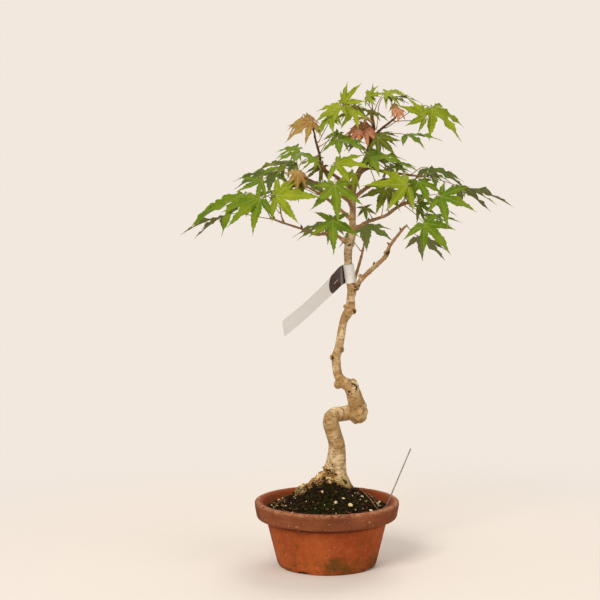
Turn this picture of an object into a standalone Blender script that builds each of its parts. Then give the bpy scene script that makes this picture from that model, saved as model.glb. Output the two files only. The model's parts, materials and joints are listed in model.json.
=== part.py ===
"""Potted bonsai: a small Japanese maple in a terracotta pan, with its soil, tag and wire pin.

Metres, +Z up. The origin is on the pot's axis, at the plane it rests on, and the front is -Y.
The tree is drawn in millimetres from the middle of the rim's top, at TREE_DRAWN_HEIGHT tall.
"""
import itertools
import math
import random

import bmesh
import bpy
from mathutils import Matrix, Vector
from mathutils.bvhtree import BVHTree

MM = 0.001

# Pot, metres
POT_HEIGHT = 0.073
RIM_RADIUS = 0.0805
RIM_WALL = 0.0085
RIM_BAND = 0.0195
RIM_TAPER = 0.0025
RIM_ROUND = 0.0035
RIM_OVERHANG = 0.0137
BODY_RADIUS = RIM_RADIUS - RIM_OVERHANG
BASE_RADIUS = 0.054
BODY_WALL = 0.0070
FLOOR_THICKNESS = 0.0085
FLOOR_FILLET = 0.0035
FOOT_ROUND = 0.0020
UNDERCUT = 0.0012
STEP_HEIGHT = 0.0020
STEP_SHARE = 0.35
POT_SIDES = 40

# Drain holes, each under a square of mesh
MESH_SIZE = 0.022
MESH_THICKNESS = 0.0010
MESH_BAR = 0.0026
MESH_HOLES = 2
MESH_ROOM = 0.0025
DRAIN_RADIUS = 0.0055
DRAIN_PLACE = BASE_RADIUS - BODY_WALL - FLOOR_FILLET - MESH_ROOM - MESH_SIZE / 2
DRAIN_ANGLES = (-120, 60)
DRAIN_SIDES = 14

# Grooves under the pot, which end in the notches at its foot
GROOVE_WIDTH = 0.018
GROOVE_DEPTH = 0.0030
GROOVE_SLOPE = 0.0040
GROOVE_START = DRAIN_PLACE - DRAIN_RADIUS - GROOVE_SLOPE
GROOVE_ANGLES = (-120, -30, 60, 150)
CUT_PAST = 0.0050

# Soil
SOIL_DROP = 0.0085
MOUND_HEIGHT = 0.0315
MOUND_REACH = 0.078
MOUND_CENTRE = (0.003, -0.002)
MOUND_FADE = 2.2
SOIL_LUMPS = 0.0009
LUMP_WAVES = (310, 270, 170, 230)
SOIL_RINGS = (1, 0.9, 0.76, 0.6, 0.44, 0.3, 0.15)

# Tree
TREE_DRAWN_HEIGHT = 0.453
TREE_HEIGHT = 0.453
TREE_SCALE = TREE_HEIGHT / TREE_DRAWN_HEIGHT * MM
TWIG_SIDES = 6
TRUNK_SIDES = 9
LARGE_KNOB = 0.0045

# Leaves
LEAF_SCALE = 1.0
LEAF_THICKNESS = 0.0008
LEAF_STALK_RADIUS = 0.0006
LOBES = ((-80, 0.60), (-40, 0.86), (0, 1.0), (40, 0.86), (80, 0.60))
LOBE_TURN_VARIES = 4
LOBE_LENGTH_VARIES = 0.08
BASAL_TURN = 30
BASAL_SHARE = 0.42
BASAL_LIMIT = 152
LOBE_HALF_WIDTH = 0.125
LOBE_WIDEST = 0.40
LOBE_FOLD = 0.30
RIB_LIFT = 0.03
SINUS_SHARE = 0.21
SINUS_LIFT = 0.01
LOBE_DROOP = 18
COLLAR_RADIUS = LEAF_STALK_RADIUS * 1.5
COLLAR_FLATNESS = 0.8
COLLAR_ANGLE = 140
STALK_STEPS = 5
STALK_LEAVES_HUB = 0.45
STALK_LEAVES_HUB_LIMIT = 0.016
STALK_MEETS_TWIG = 0.25

# Tag: a strip that is wound once round the trunk and leaves it as a long tail. Angles run round the trunk.
# A tail row is a place in mm from the middle of the turn, and how far the strip is twisted there, 0 to 1
TAG_WIDTH = 0.0205
TAG_THICKNESS = 0.0005
TAG_TURN_CENTRE = (24.3, 0, 253.6, 4.8)
TAG_TURN_AXIS = (-0.15, 0, 1)
TAG_TURN_ROOM = 0.0008
TAG_TURN_SPIRAL = 0.0006
TAG_TURN_START = 142
TAG_TURN_END = -170
TAG_TURN_STEPS = 18
TAG_TAIL_ACROSS = (-0.106, -0.429, 0.897)
TAG_TAIL = ((-72.2, -95.6, -49, 1), (-50.6, -69.8, -34.2, 1), (-31.6, -44.3, -19.4, 0.95),
            (-17.8, -24, -8.2, 0.6), (-9.4, -9, -1.4, 0.25))
TAG_TAIL_STEPS = 3

# Wire pin, pushed into the soil beside the rim and leaning outwards
PIN_RADIUS = 0.00075
PIN_SIDES = 8
PIN_ANGLE = -13
PIN_ROOM = 0.0024
PIN_LEAN = (0.402, -0.073, 1)
PIN_RISE = 0.062
PIN_DEPTH = RIM_BAND - PIN_RADIUS * 2

# Room left between pieces that touch, and how far a leaf may move to find it, in mm
GAP = 0.0003
ROOT_ROOM = 0.0006
LEAF_ROOM = 0.0003
NUDGE_STEP = 4
NUDGE_LIMIT = 28

# Trunk and branches: x, y, height above the rim, radius, in mm
TRUNK_LOW = ((14, 2, -24, 8), (15, 1, -6, 12.5), (14, 0, 8, 13.5), (12, 0, 22, 12), (10, 0, 40, 11),
             (11, -4, 62, 9.4), (6, -8, 80, 8.9), (4, -9, 92, 8.9), (9, -4, 99, 7.5))
TRUNK_TURN = ((1, -8, 93, 7.5), (9, -3, 97, 8.4), (19, 4, 97, 8.5), (28, 3, 100, 9), (33, -1, 107, 8.5))
TRUNK_MIDDLE = ((30, 3, 98, 8), (33, -2, 106, 9.6), (31, -6, 115, 9), (29, -6, 122, 8.3),
                (25, -4, 129, 7.6), (18, -1, 133, 6.2), (13, 0, 139, 5.4), (11, 0, 147, 5.1), (10, 0, 161, 5),
                (13, 0, 172, 4.8), (15, 0, 183, 4.6), (18, 0, 200, 4.7), (22, 0, 209, 5.4),
                (26, 0, 217, 5.2), (26, 0, 226, 4.7), (27, 0, 237, 5.1), (24, 0, 252, 4.5),
                (23, 0, 266, 4.2), (23, 0, 282, 4.8), (27, 0, 296, 4.1), (28, 0, 323, 3.6),
                (28, 0, 344, 3.6), (34, 2, 363, 3.6), (44, 0, 381, 3.7), (47, -2, 399, 3.1),
                (50, -2, 413, 2.4), (49, -2, 424, 1.5), (50, -3, 430, 1))
ROOTS = {
    "left": ((7, 0, 32, 7), (-3, -3, 26, 7.5), (-12, -5, 20, 7), (-20, -8, 16, 6), (-28, -9, 11, 7.4),
             (-32, -10, 2, 5.4), (-34, -11, -10, 3.2)),
    "front_right": ((14, -2, 30, 8), (19, -6, 20, 7), (24, -9, 11, 5.2), (28, -13, 1, 4.2),
                    (33, -18, -12, 3)),
    "back_right": ((14, 4, 28, 8), (22, 14, 14, 6), (30, 24, 2, 4.5), (36, 32, -12, 3)),
    "back_left": ((7, 6, 26, 8), (-2, 18, 12, 6), (-10, 30, 0, 4.2), (-15, 38, -12, 3)),
    "front_left": ((9, -5, 19, 8), (2, -12, 9, 6), (-6, -20, -2, 4.4), (-11, -27, -13, 2.9)),
}
ROOT_KNOBS = ((3, -4, 37, 6.8), (0, -5, 26, 6.5))
KNOBS = (*ROOT_KNOBS, (34, 0, 98, 11.4), (37, -3, 106, 7), (27, -4, 129, 7.8),
         (29, -3, 133, 4.4), (12.5, -1, 130.5, 5.2), (6, -2, 161, 3.4), (16, 1, 169, 3.2), (29, -1, 212, 3.4),
         (20, -1, 217, 2.6), (36, -9, 252, 2.4), (64, -31, 279, 3.4), (18, 0, 291, 3), (27, 1, 286, 3.2),
         (-12, -24, 300, 2.3), (83, -28, 333, 2.3), (42, 2, 372, 2.6), (47, -4, 405, 3))
BRANCHES = {
    "right_low": ((26, 0, 233, 3.6), (32, -4, 239, 3.2), (37, -10, 248, 2.7), (50, -20, 262, 2.5),
                  (61, -28, 273, 2.4), (65, -32, 280, 2.6), (67, -35, 287, 1.9), (79, -42, 304, 1.6),
                  (85, -46, 311, 1.1)),
    "right_mid": ((28, 0, 303, 3), (35, -4, 306, 2.2), (43, -8, 311, 2), (63, -20, 319, 1.8),
                  (72, -24, 326, 1.8), (84, -28, 333, 1.8), (93, -32, 332, 1.2)),
    "left_low": ((24, 0, 284, 3), (17, -4, 291, 2.2), (10, -9, 296, 1.9), (-3, -18, 299, 1.8),
                 (-12, -24, 299, 1.8), (-27, -32, 305, 1.4), (-49, -42, 313, 1.3), (-61, -46, 318, 1)),
    "left_tip": ((-47, -41, 312, 1.2), (-50, -42, 320, 1), (-51, -43, 327, 0.9)),
    "left_high": ((28, 0, 346, 2.6), (19, -5, 353, 2), (8, -12, 362, 1.8), (-6, -20, 371, 1.6),
                  (-9, -25, 386, 1.5), (-13, -30, 400, 1.3), (-15, -32, 411, 1)),
    "left_mid": ((28, 0, 330, 2.4), (14, -4, 340, 1.8), (-4, -8, 350, 1.5), (-26, -14, 360, 1.3),
                 (-40, -20, 365, 1)),
    "front": ((28, -1, 322, 2.4), (24, -14, 332, 1.8), (18, -30, 342, 1.5), (14, -42, 352, 1.2)),
    "right_high": ((35, 2, 364, 2.6), (46, -3, 370, 1.9), (62, -10, 366, 1.7), (80, -18, 364, 1.5),
                   (98, -20, 362, 1.2), (110, -20, 362, 1)),
    "top_right": ((47, -2, 400, 2.2), (57, -5, 411, 1.6), (68, -8, 420, 1.4), (74, -9, 425, 1)),
    "top_left": ((49, -2, 419, 1.6), (42, -6, 425, 1.3), (36, -8, 431, 1)),
    "back_left": ((27, 1, 312, 2.8), (16, 14, 322, 2.1), (0, 34, 334, 1.8), (-18, 54, 344, 1.5),
                  (-34, 70, 350, 1.1)),
    "back_right": ((29, 1, 336, 2.8), (42, 16, 346, 2.1), (60, 34, 354, 1.8), (78, 52, 356, 1.5),
                   (92, 66, 358, 1.1)),
    "back_low": ((26, 1, 228, 2.8), (29, 14, 240, 2.1), (35, 34, 257, 1.7), (40, 54, 271, 1.4),
                 (43, 72, 282, 1)),
}

# Leaves: branch, share along it, hub x y z, middle lobe x y z, side the top looks to, spread, tone
LEAVES = (
    ("left_low", 0.96, (-91, -45, 344), (-62, -17, -37), (-2, -2, 5), 1.0, "green"),
    ("left_low", 0.99, (-112, -20, 319), (-48, -12, -20), (-2, 1, 5), 1.0, "olive"),
    ("left_tip", 0.80, (-72, -62, 341), (-36, -22, -30), (-1, -3, 2), 0.9, "green"),
    ("left_tip", 1.00, (-55, -76, 344), (50, -12, 0), (0, -4, 2), 1.2, "lime"),
    ("left_mid", 1.00, (-40, -30, 379), (-41, -22, -10), (-1, -1, 7), 1.0, "olive"),
    ("left_high", 0.45, (-30, -45, 388), (-8, -40, -10), (0, -2, 4), 1.1, "green"),
    ("left_high", 0.70, (-32, -74, 374), (-2, -8, -24), (1, -4, 1), 0.9, "bronze"),
    ("left_high", 0.98, (-17, -32, 421), (-30, -8, -22), (-1, -3, 3), 1.0, "bronze"),
    ("left_high", 0.85, (3, -36, 426), (-14, -10, -21), (-2, -2, 2), 0.9, "lime"),
    ("top_left", 1.00, (17, -20, 441), (18, -8, 20), (0, -3, 2), 1.0, "lime"),
    ("top_left", 0.80, (13, -30, 438), (-26, -10, -15), (-1, -3, 4), 1.0, "lime"),
    ("trunk", 1.00, (43, -15, 448), (19, -8, 3), (0, -3, 2), 1.3, "lime"),
    ("trunk", 0.99, (29, -28, 433), (-16, -12, -20), (-1, -3, 2), 1.1, "lime"),
    ("top_left", 0.30, (31, 6, 436), (26, 10, -11), (0, 0, 4), 0.8, "lime"),
    ("trunk", 0.95, (67, 2, 448), (34, -8, -5), (1, 0, 5), 1.1, "olive"),
    ("top_right", 0.55, (114, 0, 435), (32, -14, -37), (1, -2, 3), 1.1, "lime"),
    ("top_right", 0.90, (105, -14, 426), (-32, -12, 12), (0, -3, 2), 1.0, "lime"),
    ("top_right", 0.35, (85, -16, 407), (39, -14, -5), (0, -1, 5), 1.0, "green"),
    ("top_right", 1.00, (77, -16, 434), (-1, -7, -16), (1, -4, 1), 1.0, "salmon"),
    ("trunk", 0.93, (54, -22, 404), (20, -14, -20), (-1, -3, 2), 1.0, "olive"),
    ("trunk", 0.92, (56, 10, 408), (22, 12, -3), (1, 1, 4), 1.0, "green"),
    ("trunk", 0.94, (34, -20, 412), (-12, -8, -14), (-1, -4, 1), 0.9, "salmon"),
    ("trunk", 0.96, (42, -20, 413), (1, -5, -22), (-1, -5, 0), 0.8, "salmon"),
    ("top_left", 0.60, (42, -14, 426), (-15, -12, -6), (-1, -2, 3), 1.0, "bronze"),
    ("left_high", 0.80, (11, -44, 402), (32, -26, -12), (1, -2, 3), 1.2, "green"),
    ("front", 0.80, (8, -66, 377), (40, -16, -3), (1, -4, 4), 1.2, "lime"),
    ("front", 1.00, (7, -82, 356), (4, -10, -42), (0, -5, 1), 1.2, "green"),
    ("left_low", 0.40, (5, -62, 317), (1, -10, -38), (0, -5, 1), 1.5, "green"),
    ("right_mid", 0.80, (84, -62, 354), (-50, -14, 0), (0, -3, 3), 1.2, "lime"),
    ("right_mid", 0.62, (62, -36, 348), (-12, -26, -26), (0, -3, 2), 1.3, "olive"),
    ("right_high", 0.10, (46, -40, 383), (42, -20, -9), (1, -2, 4), 1.2, "green"),
    ("right_high", 0.40, (52, -6, 380), (36, -4, -10), (1, 1, 5), 1.0, "green"),
    ("right_high", 1.00, (98, -32, 357), (13, -16, -28), (1, -4, 2), 1.1, "green"),
    ("right_high", 0.90, (107, -8, 366), (28, -10, -10), (1, 0, 5), 0.9, "olive"),
    ("right_mid", 1.00, (121, -48, 342), (38, -15, -16), (1, -4, 2), 1.3, "green"),
    ("right_high", 0.98, (141, 0, 351), (64, -6, -22), (1, 1, 5), 0.9, "olive"),
    ("right_mid", 0.86, (102, -64, 314), (29, -12, -34), (1, -4, 2), 1.1, "green"),
    ("right_mid", 0.94, (107, -36, 322), (38, -8, -10), (1, 0, 4), 0.9, "green"),
    ("right_low", 0.98, (98, -22, 296), (31, 10, -28), (1, 2, 3), 1.0, "olive"),
    ("left_mid", 0.85, (-28, -4, 355), (-32, 12, -12), (-1, 1, 5), 1.2, "green"),
    ("right_mid", 0.35, (40, -26, 328), (3, -6, -16), (0, -4, 1), 1.3, "olive"),
    ("back_left", 1.00, (-60, 84, 362), (-46, 24, -22), (-1, 2, 4), 1.1, "green"),
    ("back_left", 0.85, (-24, 92, 352), (-8, 46, -26), (0, 3, 3), 1.1, "green"),
    ("back_left", 0.60, (-44, 38, 346), (-50, 8, -18), (-2, 1, 5), 1.0, "green"),
    ("back_right", 1.00, (116, 78, 366), (46, 20, -24), (2, 2, 4), 1.1, "green"),
    ("back_right", 0.80, (84, 92, 352), (12, 44, -30), (0, 3, 3), 1.1, "lime"),
    ("back_right", 0.60, (98, 34, 340), (48, 10, -26), (2, 1, 4), 1.0, "green"),
    ("back_low", 1.00, (44, 98, 300), (4, 44, -34), (0, 4, 2), 1.2, "green"),
    ("back_low", 0.80, (6, 62, 306), (-40, 26, -22), (-1, 2, 4), 1.0, "green"),
)

# Grit chips on the soil: share of the soil's radius, angle, length, width and height in mm, turn
GRIT = ((0.627, -77.9, 5.0, 4.0, 4.0, 20), (0.739, -60.4, 5.0, 6.5, 4.2, 60),
        (0.865, -78.3, 9.5, 3.6, 3.4, 8), (0.859, -35.3, 6.0, 4.4, 3.6, 120))
GRIT_ROUGHNESS = (-0.18, 0.12)
GRIT_RISE = 0.15

COLOURS = {
    "terracotta": (0.40, 0.12, 0.045, 1),
    "mesh": (0.05, 0.05, 0.05, 1),
    "soil": (0.025, 0.018, 0.012, 1),
    "bark": (0.52, 0.38, 0.22, 1),
    "tag": (0.80, 0.78, 0.74, 1),
    "wire": (0.55, 0.54, 0.50, 1),
    "grit": (0.62, 0.52, 0.34, 1),
    "green": (0.17, 0.34, 0.03, 1),
    "lime": (0.33, 0.44, 0.03, 1),
    "olive": (0.20, 0.22, 0.03, 1),
    "bronze": (0.42, 0.26, 0.04, 1),
    "salmon": (0.60, 0.27, 0.16, 1),
}

LEAF_TONES = ("green", "lime", "olive", "bronze", "salmon")


def clear_scene():
    """Start from an empty file."""
    for old in list(bpy.data.objects):
        bpy.data.objects.remove(old, do_unlink=True)


def material(name, roughness=0.6, metallic=0.0):
    """A plain material in one of the COLOURS."""
    made = bpy.data.materials.new(name)
    made.use_nodes = True
    shader = made.node_tree.nodes["Principled BSDF"]
    shader.inputs["Base Color"].default_value = COLOURS[name]
    shader.inputs["Roughness"].default_value = roughness
    shader.inputs["Metallic"].default_value = metallic
    made.diffuse_color = COLOURS[name]
    return made


def add_object(name, mesh_data, finish=None):
    """Put a bmesh into the scene as a named object."""
    bmesh.ops.recalc_face_normals(mesh_data, faces=mesh_data.faces)
    if mesh_data.calc_volume(signed=True) < 0:
        bmesh.ops.reverse_faces(mesh_data, faces=mesh_data.faces)
    mesh = bpy.data.meshes.new(name)
    mesh_data.to_mesh(mesh)
    mesh_data.free()
    if finish:
        mesh.materials.append(finish)
    made = bpy.data.objects.new(name, mesh)
    bpy.context.scene.collection.objects.link(made)
    return made


def add_cutter(name, mesh_data):
    """A helper shape for a Boolean, left out of the part."""
    made = add_object(name, mesh_data)
    made.hide_render = True
    made.display_type = 'WIRE'
    return made


def boolean(target, tool, operation):
    """Join a tool to a target, or cut it away."""
    change = target.modifiers.new(tool.name, 'BOOLEAN')
    change.operation = operation
    change.solver = 'EXACT'
    change.object = tool


def smooth(made, angle=40):
    """Shade a round piece smooth, with its corners kept sharp."""
    made.data.shade_smooth()
    made.data.set_sharp_from_angle(angle=math.radians(angle))


def tree_point(x, y, z):
    """A point of the tree, drawn in mm above the rim, in metres."""
    return Vector((0, 0, POT_HEIGHT)) + Vector((x, y, z)) * TREE_SCALE


def tree_path(rows):
    """The points and radii of a drawn branch, in metres."""
    return [(tree_point(*row[:3]), row[3] * TREE_SCALE) for row in rows]


# --------------------------------------------------------------------------- tubes and rings

def lathe(profile, sides):
    """Turn a profile of (radius, height) from one point on the axis to another."""
    body = bmesh.new()
    rings = []
    for radius, height in profile:
        if radius == 0:
            rings.append([body.verts.new((0, 0, height))])
            continue
        turn = [math.tau * index / sides for index in range(sides)]
        rings.append([body.verts.new((radius * math.cos(a), radius * math.sin(a), height)) for a in turn])
    for low, high in zip(rings, rings[1:]):
        join_rings(body, low, high)
    return body


def join_rings(body, first, second):
    """Fill the strip between two rings, either of which may be a single point."""
    count = max(len(first), len(second))
    for index in range(count):
        after = (index + 1) % count
        if len(first) == 1:
            body.faces.new((first[0], second[after], second[index]))
        elif len(second) == 1:
            body.faces.new((first[index], first[after], second[0]))
        else:
            body.faces.new((first[index], first[after], second[after], second[index]))


def frames_along(points):
    """Tangent and side directions that follow a path without twisting."""
    frames = []
    side = None
    for index, point in enumerate(points):
        before = points[max(index - 1, 0)]
        after = points[min(index + 1, len(points) - 1)]
        tangent = (after - before).normalized()
        if side is None:
            side = tangent.orthogonal().normalized()
        side = (side - side.project(tangent)).normalized()
        frames.append((tangent, side, tangent.cross(side)))
    return frames


def tube(path, sides, grow=0.0):
    """A round limb along a path of (point, radius), grown evenly where it is used to cut."""
    body = bmesh.new()
    points = [point for point, _ in path]
    frames = frames_along(points)
    points[0] = points[0] - frames[0][0] * grow
    points[-1] = points[-1] + frames[-1][0] * grow
    rings = []
    for (_, radius), point, (_, side, up) in zip(path, points, frames):
        turn = [math.tau * index / sides for index in range(sides)]
        reach = radius + grow
        rings.append([body.verts.new(point + (side * math.cos(a) + up * math.sin(a)) * reach) for a in turn])
    for low, high in zip(rings, rings[1:]):
        join_rings(body, low, high)
    body.faces.new(rings[0][::-1])
    body.faces.new(rings[-1])
    return body


def knob(centre, radius, grow=0.0):
    """A round burl or bud."""
    body = bmesh.new()
    detail = 2 if radius > LARGE_KNOB else 1
    bmesh.ops.create_icosphere(body, subdivisions=detail, radius=radius + grow)
    bmesh.ops.translate(body, verts=body.verts, vec=centre)
    return body


def point_along(path, share):
    """The point, radius and direction at a share of a path's length."""
    lengths = [(b[0] - a[0]).length for a, b in zip(path, path[1:])]
    left = sum(lengths) * share
    for (a, b), length in zip(zip(path, path[1:]), lengths):
        if left <= length or b is path[-1]:
            part = min(left / length, 1.0)
            return a[0].lerp(b[0], part), a[1] + (b[1] - a[1]) * part, (b[0] - a[0]).normalized()
        left -= length


# --------------------------------------------------------------------------- pot

def wall_inside(height):
    """The pot's inner radius at a height."""
    band_foot = POT_HEIGHT - RIM_BAND
    rim_inside = RIM_RADIUS - RIM_WALL
    step = BODY_RADIUS - BODY_WALL
    if height >= band_foot:
        share = STEP_SHARE + (1 - STEP_SHARE) * (height - band_foot) / RIM_BAND
        return step + (rim_inside - step) * share
    floor_inside = BASE_RADIUS - BODY_WALL
    share = (height - FLOOR_THICKNESS) / (band_foot - FLOOR_THICKNESS)
    return floor_inside + (step - floor_inside) * share


def pot_profile():
    """The pot's section, from the middle of its floor, over the rim, to the middle of its foot."""
    band_foot = POT_HEIGHT - RIM_BAND
    rim_inside = RIM_RADIUS - RIM_WALL
    soft = RIM_ROUND
    return [
        (0, FLOOR_THICKNESS),
        (wall_inside(FLOOR_THICKNESS) - FLOOR_FILLET, FLOOR_THICKNESS),
        (wall_inside(FLOOR_THICKNESS + FLOOR_FILLET), FLOOR_THICKNESS + FLOOR_FILLET),
        (wall_inside(band_foot - STEP_HEIGHT), band_foot - STEP_HEIGHT),
        (wall_inside(band_foot), band_foot),
        (rim_inside, POT_HEIGHT - soft / 2),
        (rim_inside + soft / 2, POT_HEIGHT),
        (RIM_RADIUS - soft, POT_HEIGHT),
        (RIM_RADIUS - soft / 4, POT_HEIGHT - soft / 3),
        (RIM_RADIUS, POT_HEIGHT - soft * 1.3),
        (RIM_RADIUS - RIM_TAPER, band_foot + soft),
        (RIM_RADIUS - RIM_TAPER - soft * 0.9, band_foot + soft / 6),
        (BODY_RADIUS - UNDERCUT, band_foot - UNDERCUT),
        (BODY_RADIUS, band_foot - UNDERCUT * 3),
        (BASE_RADIUS + FOOT_ROUND * 0.75, FOOT_ROUND * 2),
        (BASE_RADIUS, FOOT_ROUND * 0.75),
        (BASE_RADIUS - FOOT_ROUND, 0),
        (0, 0),
    ]


def groove_cutter(index, angle):
    """A trough under the foot, open at its outer end, with sloping sides."""
    body = bmesh.new()
    bmesh.ops.create_cube(body, size=1)
    for vert in body.verts:
        slope = GROOVE_SLOPE if vert.co.z > 0 else 0
        vert.co.x = BASE_RADIUS + CUT_PAST if vert.co.x > 0 else GROOVE_START + slope
        vert.co.y = math.copysign(GROOVE_WIDTH / 2 - slope, vert.co.y)
        vert.co.z = GROOVE_DEPTH if vert.co.z > 0 else -CUT_PAST
    bmesh.ops.rotate(body, verts=body.verts, matrix=Matrix.Rotation(math.radians(angle), 3, 'Z'))
    return add_cutter(f"groove_{index}", body)


def drain_point(angle, height):
    """The middle of a drain hole."""
    return Vector((DRAIN_PLACE * math.cos(angle), DRAIN_PLACE * math.sin(angle), height))


def make_pot():
    """The terracotta pan, with its grooves and drain holes."""
    pot = add_object("pot", lathe(pot_profile(), POT_SIDES), material("terracotta", 0.85))
    for index, angle in enumerate(GROOVE_ANGLES):
        boolean(pot, groove_cutter(index, angle), 'DIFFERENCE')
    for index, angle in enumerate(DRAIN_ANGLES):
        turn = math.radians(angle)
        hole = tube([(drain_point(turn, -CUT_PAST), DRAIN_RADIUS),
                     (drain_point(turn, FLOOR_THICKNESS + CUT_PAST), DRAIN_RADIUS)], DRAIN_SIDES)
        boolean(pot, add_cutter(f"drain_{index}", hole), 'DIFFERENCE')
    smooth(pot, 35)


def mesh_plate(angle, grow=0.0):
    """A square of drain mesh over a hole, or the solid block of soil that it displaces."""
    body = bmesh.new()
    hole = (MESH_SIZE - MESH_BAR * (MESH_HOLES + 1)) / MESH_HOLES
    marks = [-MESH_SIZE / 2 - grow]
    for index in range(MESH_HOLES):
        start = -MESH_SIZE / 2 + MESH_BAR * (index + 1) + hole * index
        marks += [start, start + hole]
    marks.append(MESH_SIZE / 2 + grow)
    cells = len(marks) - 1
    solid = {(i, j) for i in range(cells) for j in range(cells) if grow or not (i % 2 and j % 2)}
    for i, j in solid:
        block = bmesh.ops.create_cube(body, size=1)["verts"]
        for vert in block:
            vert.co.x = marks[i + 1] if vert.co.x > 0 else marks[i]
            vert.co.y = marks[j + 1] if vert.co.y > 0 else marks[j]
            vert.co.z = MESH_THICKNESS / 2 + grow if vert.co.z > 0 else -MESH_THICKNESS / 2 - grow
    merge_blocks(body)
    turn = math.radians(angle)
    bmesh.ops.rotate(body, verts=body.verts, matrix=Matrix.Rotation(turn, 3, 'Z'))
    place = drain_point(turn, FLOOR_THICKNESS + GAP + MESH_THICKNESS / 2)
    bmesh.ops.translate(body, verts=body.verts, vec=place)
    return body


def merge_blocks(body):
    """Make one shell of a set of blocks that stand face to face."""
    seen = {}
    for face in body.faces:
        centre = face.calc_center_median()
        seen.setdefault(tuple(round(value, 6) for value in centre), []).append(face)
    inner = [face for group in seen.values() if len(group) > 1 for face in group]
    bmesh.ops.delete(body, geom=inner, context='FACES')
    bmesh.ops.remove_doubles(body, verts=body.verts, dist=0.00001)


def make_drain_meshes():
    """A square of mesh over each drain hole."""
    finish = material("mesh", 0.5)
    for index, angle in enumerate(DRAIN_ANGLES):
        add_object(f"drain_mesh_{index + 1}", mesh_plate(angle), finish)


# --------------------------------------------------------------------------- soil

def soil_height(x, y):
    """The height of the soil, heaped against the trunk and level at the wall."""
    wall = wall_inside(POT_HEIGHT - SOIL_DROP)
    away = (Vector((x, y)) - Vector(MOUND_CENTRE)).length
    heap = MOUND_HEIGHT * (1 + math.cos(math.pi * min(away / MOUND_REACH, 1))) / 2
    inside = max(0.0, 1 - (x * x + y * y) / wall ** 2)
    waves = LUMP_WAVES
    lumps = math.sin(x * waves[0]) * math.sin(y * waves[1]) + math.sin(x * waves[2] - y * waves[3])
    return POT_HEIGHT - SOIL_DROP + (heap + SOIL_LUMPS * lumps) * min(1, inside * MOUND_FADE)


def make_soil():
    """The soil, which fills the pot and is heaped round the roots."""
    top = POT_HEIGHT - SOIL_DROP
    room = GAP * 1.3
    band_foot = POT_HEIGHT - RIM_BAND
    edge = wall_inside(top) - room
    profile = [
        (0, FLOOR_THICKNESS + room),
        (wall_inside(FLOOR_THICKNESS) - FLOOR_FILLET - room, FLOOR_THICKNESS + room),
        (wall_inside(FLOOR_THICKNESS + FLOOR_FILLET) - room, FLOOR_THICKNESS + FLOOR_FILLET),
        (wall_inside(band_foot - STEP_HEIGHT) - room, band_foot - STEP_HEIGHT),
        (wall_inside(band_foot) - room, band_foot + room),
        *[(edge * share, top) for share in SOIL_RINGS],
        (0, top),
    ]
    body = lathe(profile, POT_SIDES)
    for vert in body.verts:
        if vert.co.z > top - GAP and vert.co.xy.length < edge * 0.99:
            vert.co.z = soil_height(vert.co.x, vert.co.y)
    soil = add_object("soil", body, material("soil", 0.95))
    for index, angle in enumerate(DRAIN_ANGLES):
        boolean(soil, add_cutter(f"mesh_bed_{index}", mesh_plate(angle, GAP)), 'DIFFERENCE')
    boolean(soil, root_bed(), 'DIFFERENCE')
    boolean(soil, add_cutter("bed_pin", pin_tube(GAP)), 'DIFFERENCE')
    for index, row in enumerate(GRIT):
        boolean(soil, add_cutter(f"bed_grit_{index}", grit_chip(row, index, GAP)), 'DIFFERENCE')
    smooth(soil, 60)


def root_bed():
    """The room that the foot of the trunk and its roots take in the soil."""
    bed = add_cutter("bed_trunk", tube(tree_path(TRUNK_LOW), TRUNK_SIDES, ROOT_ROOM))
    for name, rows in ROOTS.items():
        boolean(bed, add_cutter(f"bed_{name}", tube(tree_path(rows), TRUNK_SIDES, ROOT_ROOM)), 'UNION')
    for index, (x, y, z, radius) in enumerate(ROOT_KNOBS):
        grown = knob(tree_point(x, y, z), radius * TREE_SCALE, ROOT_ROOM)
        boolean(bed, add_cutter(f"bed_knob_{index}", grown), 'UNION')
    return bed


def grit_chip(row, index, grow=0.0):
    """One angular chip, half sunk in the soil."""
    share, angle, length, width, height, turn = row
    draw = random.Random(100 + index)
    body = bmesh.new()
    bmesh.ops.create_icosphere(body, subdivisions=1, radius=1)
    half = Vector((length, width, height)) * MM / 2
    for vert in body.verts:
        rough = 1 + draw.uniform(*GRIT_ROUGHNESS)
        vert.co = Vector([value * (size * rough + grow * 1.3) for value, size in zip(vert.co, half)])
    bmesh.ops.rotate(body, verts=body.verts, matrix=Matrix.Rotation(math.radians(turn), 3, 'Z'))
    reach = wall_inside(POT_HEIGHT - SOIL_DROP) * share
    at = Matrix.Rotation(math.radians(angle), 3, 'Z') @ Vector((reach, 0, 0))
    at.z = soil_height(at.x, at.y) + height * MM * GRIT_RISE
    bmesh.ops.translate(body, verts=body.verts, vec=at)
    return body


def make_grit():
    """The pale chips of grit that lie on the soil."""
    finish = material("grit", 0.8)
    for index, row in enumerate(GRIT):
        add_object(f"grit_{index + 1}", grit_chip(row, index), finish)


def pin_tube(grow=0.0):
    """The straight wire pin, which stands in the soil near the wall."""
    reach = RIM_RADIUS - RIM_WALL - PIN_ROOM - PIN_RADIUS
    at_rim = Matrix.Rotation(math.radians(PIN_ANGLE), 3, 'Z') @ Vector((reach, 0, 0))
    at_rim.z = POT_HEIGHT
    lean = Vector(PIN_LEAN)
    ends = (at_rim - lean * PIN_DEPTH, at_rim + lean * PIN_RISE)
    return tube([(end, PIN_RADIUS) for end in ends], PIN_SIDES, grow)


def make_pin():
    """The wire pin."""
    smooth(add_object("wire_pin", pin_tube(), material("wire", 0.4, 0.9)))


# --------------------------------------------------------------------------- wood

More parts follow.
